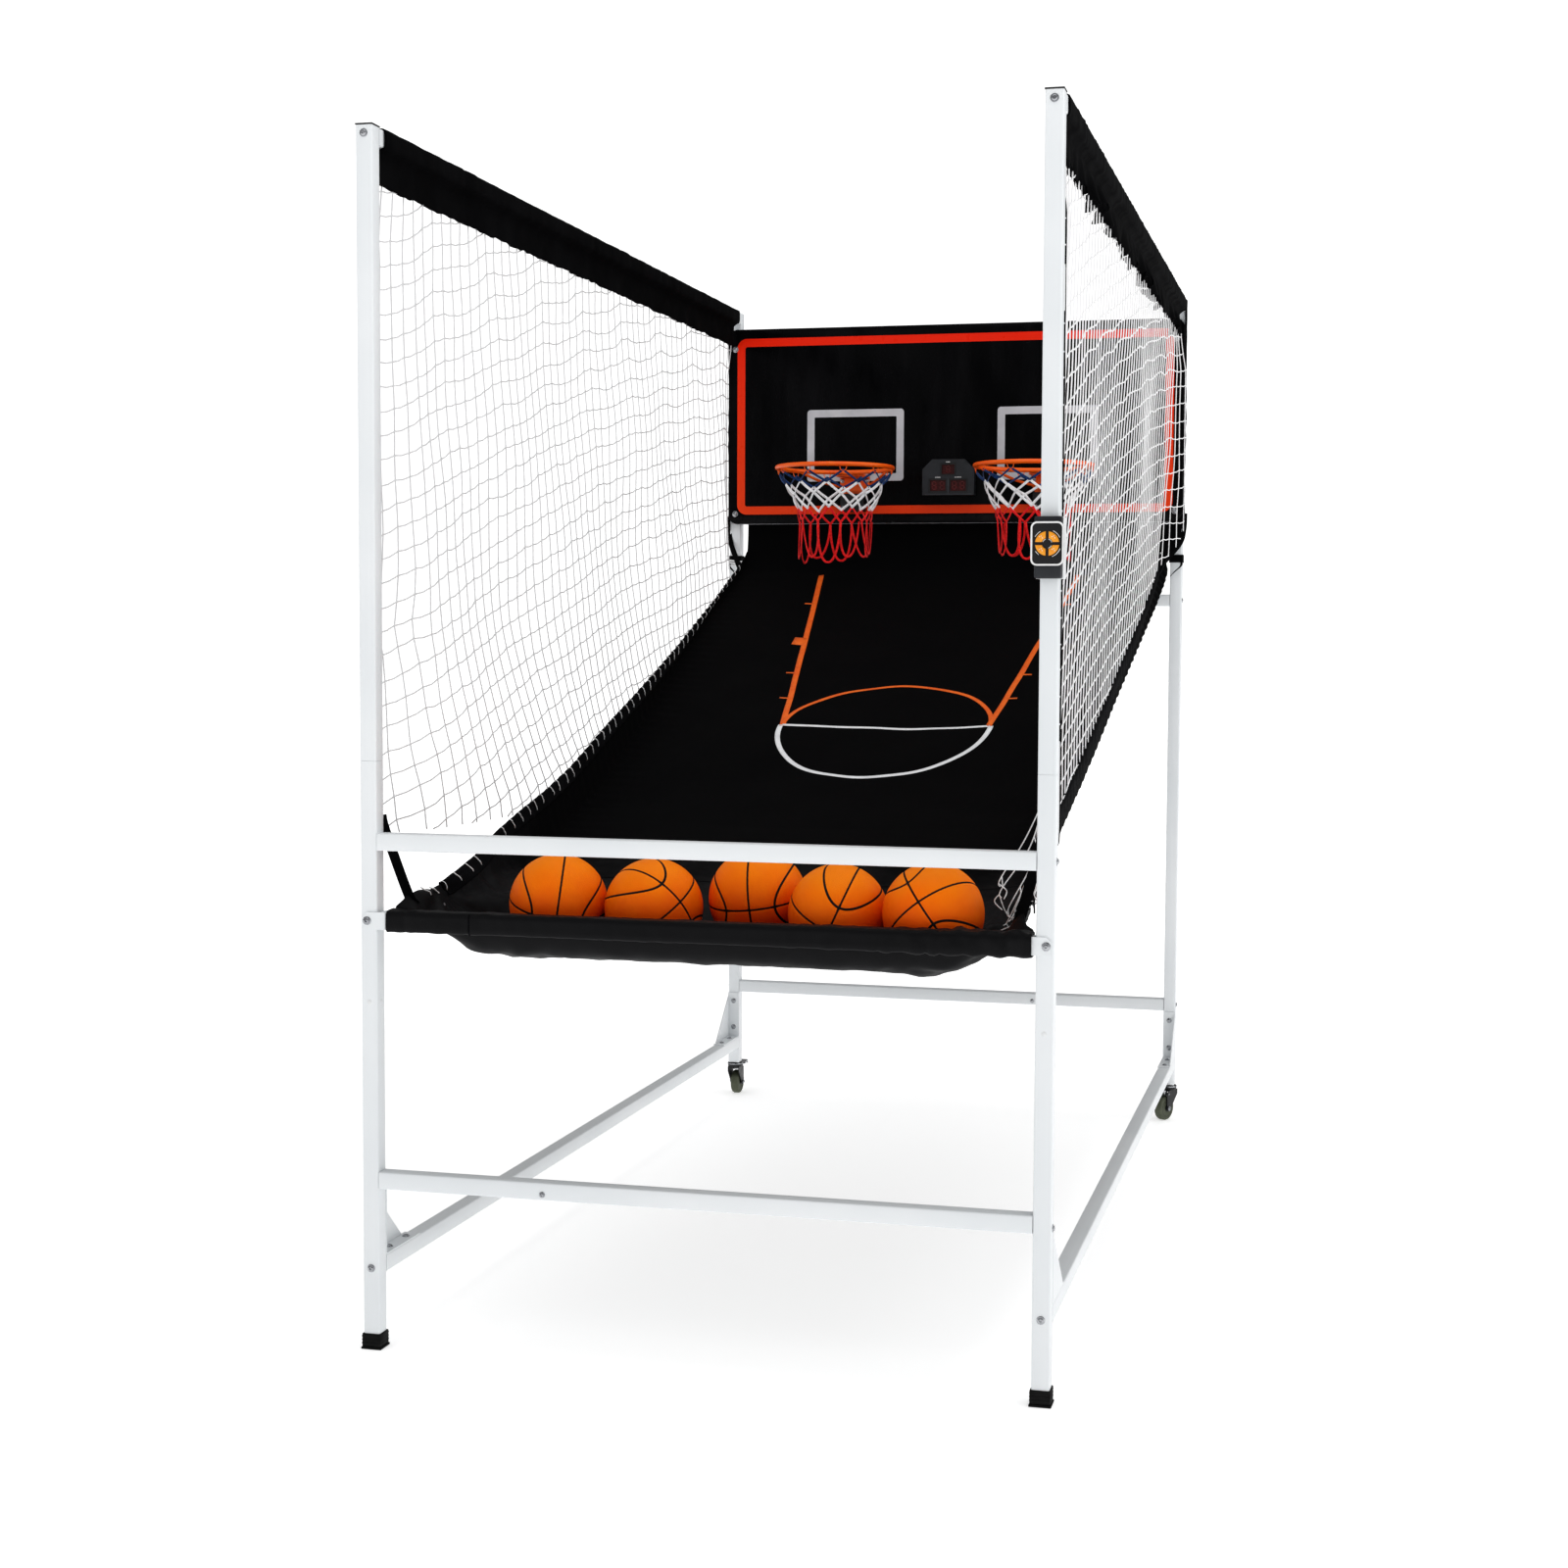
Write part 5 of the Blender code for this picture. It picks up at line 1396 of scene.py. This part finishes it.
def net_position(points, sign, seed):
    """Points of (distance, height) put in space: from the rail down and in to the ramp's edge."""
    distance, height = points[:, 0], points[:, 1]
    down = np.clip((NET_TOP - height) / (NET_TOP - edge_at(distance, 2)), 0, 1.1)
    by_post = np.maximum(share(distance, 0.20, 0.05), share(distance, 2.10, 2.23))
    by_post = by_post * share(height, 0.80, 0.93) * share(height, NET_TOP - 0.005, 1.95)
    hanging = NET_OUT + (edge_at(distance, 1) + 0.0012 - NET_OUT) * down**1.3
    x = hanging + (BESIDE_POST - hanging) * by_post + 0.0052 * share(distance, 2.19, 2.24)
    hold = share(distance, NET_FRONT, 0.30) * share(distance, NET_BACK, 1.95)
    hold = hold * np.sin(math.pi * np.clip(down, 0, 1)) * (0.006 if sign < 0 else 0.003)
    return np.stack([sign * (x + hold * ripple(points, 0.55, 40 + seed)), FRONT + distance, height], 1)


def clipped(points, inside):
    """The runs of a line that lie inside, cut where it crosses the border."""
    flags = inside(points[:, 0], points[:, 1])
    runs, run = [], []
    for i, point in enumerate(points):
        if i and flags[i] != flags[i - 1]:
            low, high = (points[i - 1], point) if flags[i - 1] else (point, points[i - 1])
            for _ in range(16):
                half = (low + high) / 2
                if inside(half[:1], half[1:])[0]:
                    low = half
                else:
                    high = half
            if flags[i]:
                run = [low]
            else:
                run.append(low)
                runs.append(np.array(run))
                run = []
        if flags[i]:
            run.append(point)
    if len(run) > 1:
        runs.append(np.array(run))
    return [r for r in runs if len(r) > 1]


def with_slack(line):
    """A line with mid points that sag a little between the joints."""
    mids = (line[1:] + line[:-1]) / 2
    lengths = np.linalg.norm(np.diff(line, axis=0), axis=1)
    mids[:, 1] -= 0.0022 * abs(np.diff(line[:, 0])) / np.maximum(lengths, 1e-6)
    out = np.empty((len(line) * 2 - 1, 2))
    out[::2], out[1::2] = line, mids
    return out


def side_net(side, sign, seed):
    """One net of square meshes, with a small knot where strands cross."""
    columns, rows = np.meshgrid(np.arange(-3.0, 58), np.arange(-14.0, 34), indexing="ij")
    nodes = np.stack(net_node(columns, rows, seed), -1)
    lowest = 0.908 if sign < 0 else 0.835

    def inside(distance, height):
        rising = np.interp(distance, (2.12, 2.20, 2.24, 2.285), (0.0, 0.015, 0.035, 0.070))
        low = np.maximum(edge_at(distance, 2) - 0.001 + hem_stand(distance, sign) + rising, lowest)
        return (distance > NET_FRONT) & (distance < NET_BACK) & (height < NET_TOP) & (height > low)

    strands = Shape()
    profile = oval(NET_CORD, NET_CORD, 5)
    for lines in (nodes, nodes.transpose(1, 0, 2)):
        for line in lines:
            for run in clipped(with_slack(line), inside):
                strands.sweep(net_position(run, sign, seed), profile, up=(sign, 0, 0.01))
    flat = nodes.reshape(-1, 2)
    flat = flat[inside(flat[:, 0], flat[:, 1])]
    form = bmesh.new()
    bmesh.ops.create_icosphere(form, subdivisions=1, radius=0.0018)
    form.verts.index_update()
    knot = np.array([v.co[:] for v in form.verts]) * (0.8, 1.0, 1.0)
    knot_faces = [[v.index for v in f.verts] for f in form.faces]
    form.free()
    for place in net_position(flat, sign, seed):
        strands.add(knot + place, knot_faces)
    # Each net takes its own greys of painted shade.
    finish = "net_far" if sign < 0 else "net_near"
    strands.piece("net_" + side, finish, "net_white", sharp=0, replaces=["side_net_" + side])


def loose_strands():
    """Ends of the right-hand net that hang loose into the pocket's corner, with a few cross strands."""
    random = np.random.default_rng(6)
    shape, profile, hung = Shape(), oval(0.0022, 0.0022, 5), []
    first_low, last_low = np.array((0.496, FRONT + 0.100, 0.850)), np.array((0.552, FRONT + 0.235, 0.842))
    for turn in np.linspace(0, 1, 11):
        start = np.array((0.584 - 0.020 * turn, FRONT + 0.050 + 0.10 * turn, 1.000 - 0.012 * turn))
        low = first_low * (1 - turn) + last_low * turn
        low = low + (0, 0, -0.055 * math.sin(math.pi * min(1.0, turn * 1.3)) + random.normal(0, 0.008))
        low[0] += random.normal(0, 0.004)
        bend = (start + low) / 2 + (0.010 + random.normal(0, 0.003), 0.004, -0.004)
        tip = low + (random.normal(0, 0.006), random.normal(0, 0.004), -0.014)
        line = smooth_path([start, bend, low, tip], 10)
        hung.append(line)
        shape.sweep(line, profile)
        split = line[-8]
        fork = [split, split + (random.normal(0, 0.010), 0.002, -0.012)]
        fork.append(split + (random.normal(0, 0.014), 0, -0.026))
        shape.sweep(smooth_path(fork, 4), profile)
    for one, other in zip(hung, hung[1:]):
        for part in (0.22, 0.45, 0.68):
            here = int(part * len(one) + random.integers(-2, 3))
            halfway = (one[here] + other[here]) / 2 + (0, 0, -0.004)
            shape.sweep(smooth_path([one[here], halfway, other[here]], 4), profile)
    shape.piece("net_loose_strands", "net_white", "net_white", sharp=0)


def binding(shape, line, heights, width, sign):
    """A cloth strip down a line of points, bowed outwards, with both its edges waving together."""
    zero = 0 * heights
    wave = 0.0016 * ripple(heights[:, None], 0.14, 50 + sign)
    left = line + np.stack([zero, wave - width / 2, zero], 1)
    right = left + np.stack([zero, width, zero], 1)
    shape.grid(np.stack([left, (left + right) / 2 + (sign * 0.0012, 0, 0), right], 1))


def net_borders():
    """Black binding down the nets' front and rear edges, and short ties from the front ones to the posts."""
    shape, ties = Shape(), Shape()
    beside, behind = POST_X + TUBE / 2 + 0.0012, FRONT_POST_Y + TUBE / 2 + 0.0008
    for _, sign in SIDES:
        distance, heights = NET_FRONT + 0.009, np.linspace(2.045, 0.915, 90)
        line = net_position(np.stack([0 * heights + distance, heights], 1), sign, 0)
        binding(shape, line, heights, 0.0100 + 0.012 * eased(heights, 1.88, 2.05), sign)
        for z in np.arange(0.965, 1.95, 0.165):
            edge = net_position(np.array([[distance, z]]), sign, 0)[0]
            inner = edge[0] - sign * 0.006
            loop = [edge + (0, 0, 0.004), (inner, behind, z + 0.003), (inner, behind, z - 0.003)]
            ties.sweep(smooth_path([*loop, edge - (0, 0, 0.004)], 4), oval(0.0024, 0.0024, 6))
        heights = np.linspace(2.131, 1.545, 90)
        line = net_position(np.stack([0 * heights + NET_BACK, heights], 1), sign, 0) + (0, -0.005, 0)
        line[:, 0] = sign * (beside + 0.0012 * abs(ripple(heights[:, None], 0.10, 55 + sign)))
        binding(shape, line, heights, 0.038 + 0 * heights, sign)
    thicken(shape.piece("net_bindings", "webbing", "black_fabric", sharp=0), 0.0012)
    ties.piece("net_ties", "net_white", "net_white", sharp=0)


def lacing():
    """White cord laced over the hem, one stitch to each mesh of the net."""
    for side, sign in SIDES:
        random = np.random.default_rng(70 + sign)
        shape = Shape()
        for distance in np.arange(0.112, 2.19, NET_PITCH):
            here = float(along_at(distance)) + random.normal(0, 0.003)
            deep = float(station_at(here, random.uniform(0.011, 0.018))[0])
            stations = np.linspace(deep, 1.0, 5)
            behind = random.uniform(0.003, 0.010)
            inside = ramp_cloth(here + behind * (1 - (stations - deep) / (1 - deep)), sign * stations, 0.0040)
            edge = ramp_cloth(here, sign * 1.0, 0.0)
            start = inside[0] + (sign * 0.002, 0.001, -0.003)
            over = edge + (sign * 0.001, 0, 0.0046 + float(hem_stand(distance, sign)))
            line = smooth_path([start, *inside[1:], over], 3)
            shape.sweep(line, oval(0.0025, 0.0025, 6))
        shape.piece("lacing_" + side, "net_white", "net_white", sharp=0)


# Top sleeves and straps


def sleeve_outline(drop):
    """The sleeve's section round the rail: up one side of the flap, round the tube and down the other."""
    half, corner, gap = TUBE / 2 + 0.0016, 0.004, 0.0014
    side = np.linspace(-drop, -half - 0.008, 14)
    path = [(-gap, side[-1]), (-half * 0.55, -half), (-half, -half + corner), (-half, half - corner)]
    path += [(-half + corner, half), (half - corner, half), (half, half - corner), (half, -half + corner)]
    round_rail, _ = evenly(smooth_path([*path, (half * 0.55, -half), (gap, side[-1])], 6), 0.0045)
    return half, np.array([*((-gap, z) for z in side), *round_rail[1:-1], *((gap, z) for z in side[::-1])])


def top_sleeve(side, sign, seed):
    """One cloth folded over the top rail, its two edges sewn together below as a hanging flap."""
    low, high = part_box("top_sleeve_" + side)
    drop = TOP_RAIL_Z - low.z
    half, outline = sleeve_outline(drop)
    outward = unit(np.stack([-np.gradient(outline[:, 1]), np.gradient(outline[:, 0])], 1))
    stations = np.arange(low.y, high.y, 0.0085)
    flat_y, level = np.meshgrid(stations, np.arange(len(outline)), indexing="ij")
    across, up = outline[level, 0], outline[level, 1]
    in_flap = share(up, -half - 0.004, -half - 0.020)
    place = np.stack([flat_y, up * 0.35, across * 0.5], -1)
    along = flat_y[..., None]
    ragged, taut = (1.5 if sign > 0 else 0.22), 0.40
    folds = (abs(ripple(place, 0.055, 80 + seed)) * 0.0022 + ripple(place, 0.024, 90 + seed) * 0.0006) * taut
    off = (abs(folds) * (0.6 + 0.4 * share(abs(across), half * 0.4, half)) + 0.0004) * (1 - 0.75 * in_flap)
    sway = 0.0065 * ripple(along, 0.085, 100 + seed) * in_flap * share(up, -half - 0.01, -drop)
    hang = 0.0060 * ripple(along, 0.120, 110 + seed) + 0.0040 * ripple(along, 0.040, 120 + seed)
    x = across + outward[level, 0] * off + sway * ragged
    z = up + outward[level, 1] * off * (1 - in_flap) + hang * in_flap * ragged * share(up, -half, -drop)
    points = np.stack([sign * POST_X + x, flat_y, TOP_RAIL_Z + z], -1)
    name, stands_for = "top_cloth_" + side, ["top_sleeve_" + side]
    piece = sheet_piece(name, points, "black_fabric", 0.0011, replaces=stands_for)


def strap(shape, points, width, up):
    shape.sweep(smooth_path(points, 8), oval(width, 0.0018, 10), up=up)


def corner_cloth():
    """The ramp's rear corner on the right, drawn out in front of the post to the net's binding."""
    beside, front = POST_X + TUBE / 2 + 0.0012, FRONT + 2.2452
    start, along = ramp_cloth(along_at(2.10), 0.995, 0.004), ramp_cloth(along_at(2.17), 0.985, 0.004)
    outer = [start + (0, 0, 0.010), (0.584, FRONT + 2.215, 1.484), (0.603, front - 0.006, 1.517)]
    outer += [(beside, front, 1.555), (beside, front, 1.600)]
    inner = [start, along, (0.554, front - 0.010, 1.500), (0.554, front, 1.540), (0.554, front, 1.600)]
    outer, inner = smooth_path(outer, 8), smooth_path(inner, 8)
    part = np.linspace(0, 1, 14)[None, :, None]
    points = inner[:, None] * (1 - part) + outer[:, None] * part
    points = points + (0, -0.0015, 0) * abs(ripple(points, 0.03, 61))[..., None]
    piece = sheet_piece("ramp_corner_right", points, "black_fabric", 0.0012)


def by_rear_post(sign, x, y, z):
    """A place given from the axis of a rear post, x outwards."""
    return (sign * (POST_X + x), REAR_POST_Y + y, z)


def straps():
    """Straps at the ramp's four corners, with a rivet in front and a ring round the post behind."""
    shape, rivets = Shape(), Shape()
    ring_profile = np.array([(-0.0009, -0.010), (0.0009, -0.010), (0.0009, 0.010), (-0.0009, 0.010)])
    rivet = [(0.0042, 0.0), (0.0040, 0.0007), (0.0020, 0.0012), (0.0, 0.0013)]
    reach, ring_z = TUBE / 2 + 0.0014, 1.468
    for _, sign in SIDES:
        corner = ramp_cloth(along_at(0.066), sign * 0.997, 0.0)
        top = np.array((sign * (POST_X - 0.010), FRONT_POST_Y + reach, 0.944))
        below, tail = top + (-sign * 0.006, 0.004, -0.030), corner + (-sign * 0.010, 0.010, -0.020)
        strap(shape, [top, below, corner + (0, 0, 0.002), tail], 0.020, (0, -1, 0.0))
        place = ramp_cloth(along_at(0.150), sign * 0.955, 0.0012)
        rivets.lathe(rivet, 20, facing(place, (-sign * 0.9, 0, 0.4)))
        corners = ((-1, -1), (1, -1), (1, 1), (-1, 1), (-1, -1))
        ring = [by_rear_post(sign, dx * reach, dy * reach, ring_z) for dx, dy in corners]
        shape.sweep(ring, ring_profile, up=(0, 0, 1))
        loose = [
            by_rear_post(sign, reach - 0.002, -reach - 0.0005, ring_z - 0.010),
            by_rear_post(sign, reach - 0.004, -reach - 0.007, ring_z - 0.020),
            by_rear_post(sign, -0.004, -reach - 0.012, ring_z - 0.036),
            by_rear_post(sign, 0.004 - reach, -reach - 0.008, ring_z - 0.046),
        ]
        strap(shape, loose, 0.006, (0, -0.3, 1))
        high = by_rear_post(sign, reach + 0.0020, -0.004, 1.585)
        bend = by_rear_post(sign, reach + 0.0010, -0.012, 1.545)
        low = by_rear_post(sign, 0.008, -reach - 0.006, 1.506)
        edge = ramp_cloth(along_at(2.19), sign * 0.990, 0.004) + (0, 0, float(hem_stand(2.15, sign)) * 0.3)
        strap(shape, [high, bend, low, edge], 0.016, (sign * 0.3, -1, 0.3))
    shape.piece("straps", "webbing", "black_fabric", sharp=30)
    rivets.piece("strap_rivets", "steel", "steel")


def tie_cord():
    """White cord wound three times round the left rear post, with a loose tail."""
    knot, profile = Shape(), oval(0.0046, 0.0046, 8)
    reach, low = TUBE / 2 + 0.0030, 1.452
    for turn in range(3):
        ring = []
        for angle in np.arange(24) * math.pi / 12:
            bulge = reach / max(abs(math.cos(angle)), abs(math.sin(angle))) ** 0.75
            z = low + turn * 0.006 + 0.0015 * math.sin(angle * 2)
            ring.append(by_rear_post(-1, -bulge * math.cos(angle), bulge * math.sin(angle), z))
        knot.sweep(ring, profile, closed=True)
    tail = ((0, 0, 0), (-0.004, -0.004, -0.014), (-0.001, -0.006, -0.040))
    tail = [by_rear_post(-1, x - reach, y - reach, low + z) for x, y, z in tail]
    knot.sweep(smooth_path(tail, 6), profile)
    knot.piece("tie_cord", "net_white", "net_white", sharp=0)


make_camera()
FINISHES = make_finishes()
make_studio()
smooth_nodes()
paint_nodes()
frame_bolts()
post_plugs()
feet_and_caps()
casters()
backboard()
rims()
hoop_net("left", 1)
hoop_net("right", 2)
score_sensors()
scoreboard()
control_panel()
balls()
ramp()
lane()
for SIDE, SIGN in SIDES:
    side_net(SIDE, SIGN, 1 + SIGN)
    top_sleeve(SIDE, SIGN, 1 + SIGN)
net_borders()
loose_strands()
corner_cloth()
lacing()
straps()
tie_cord()
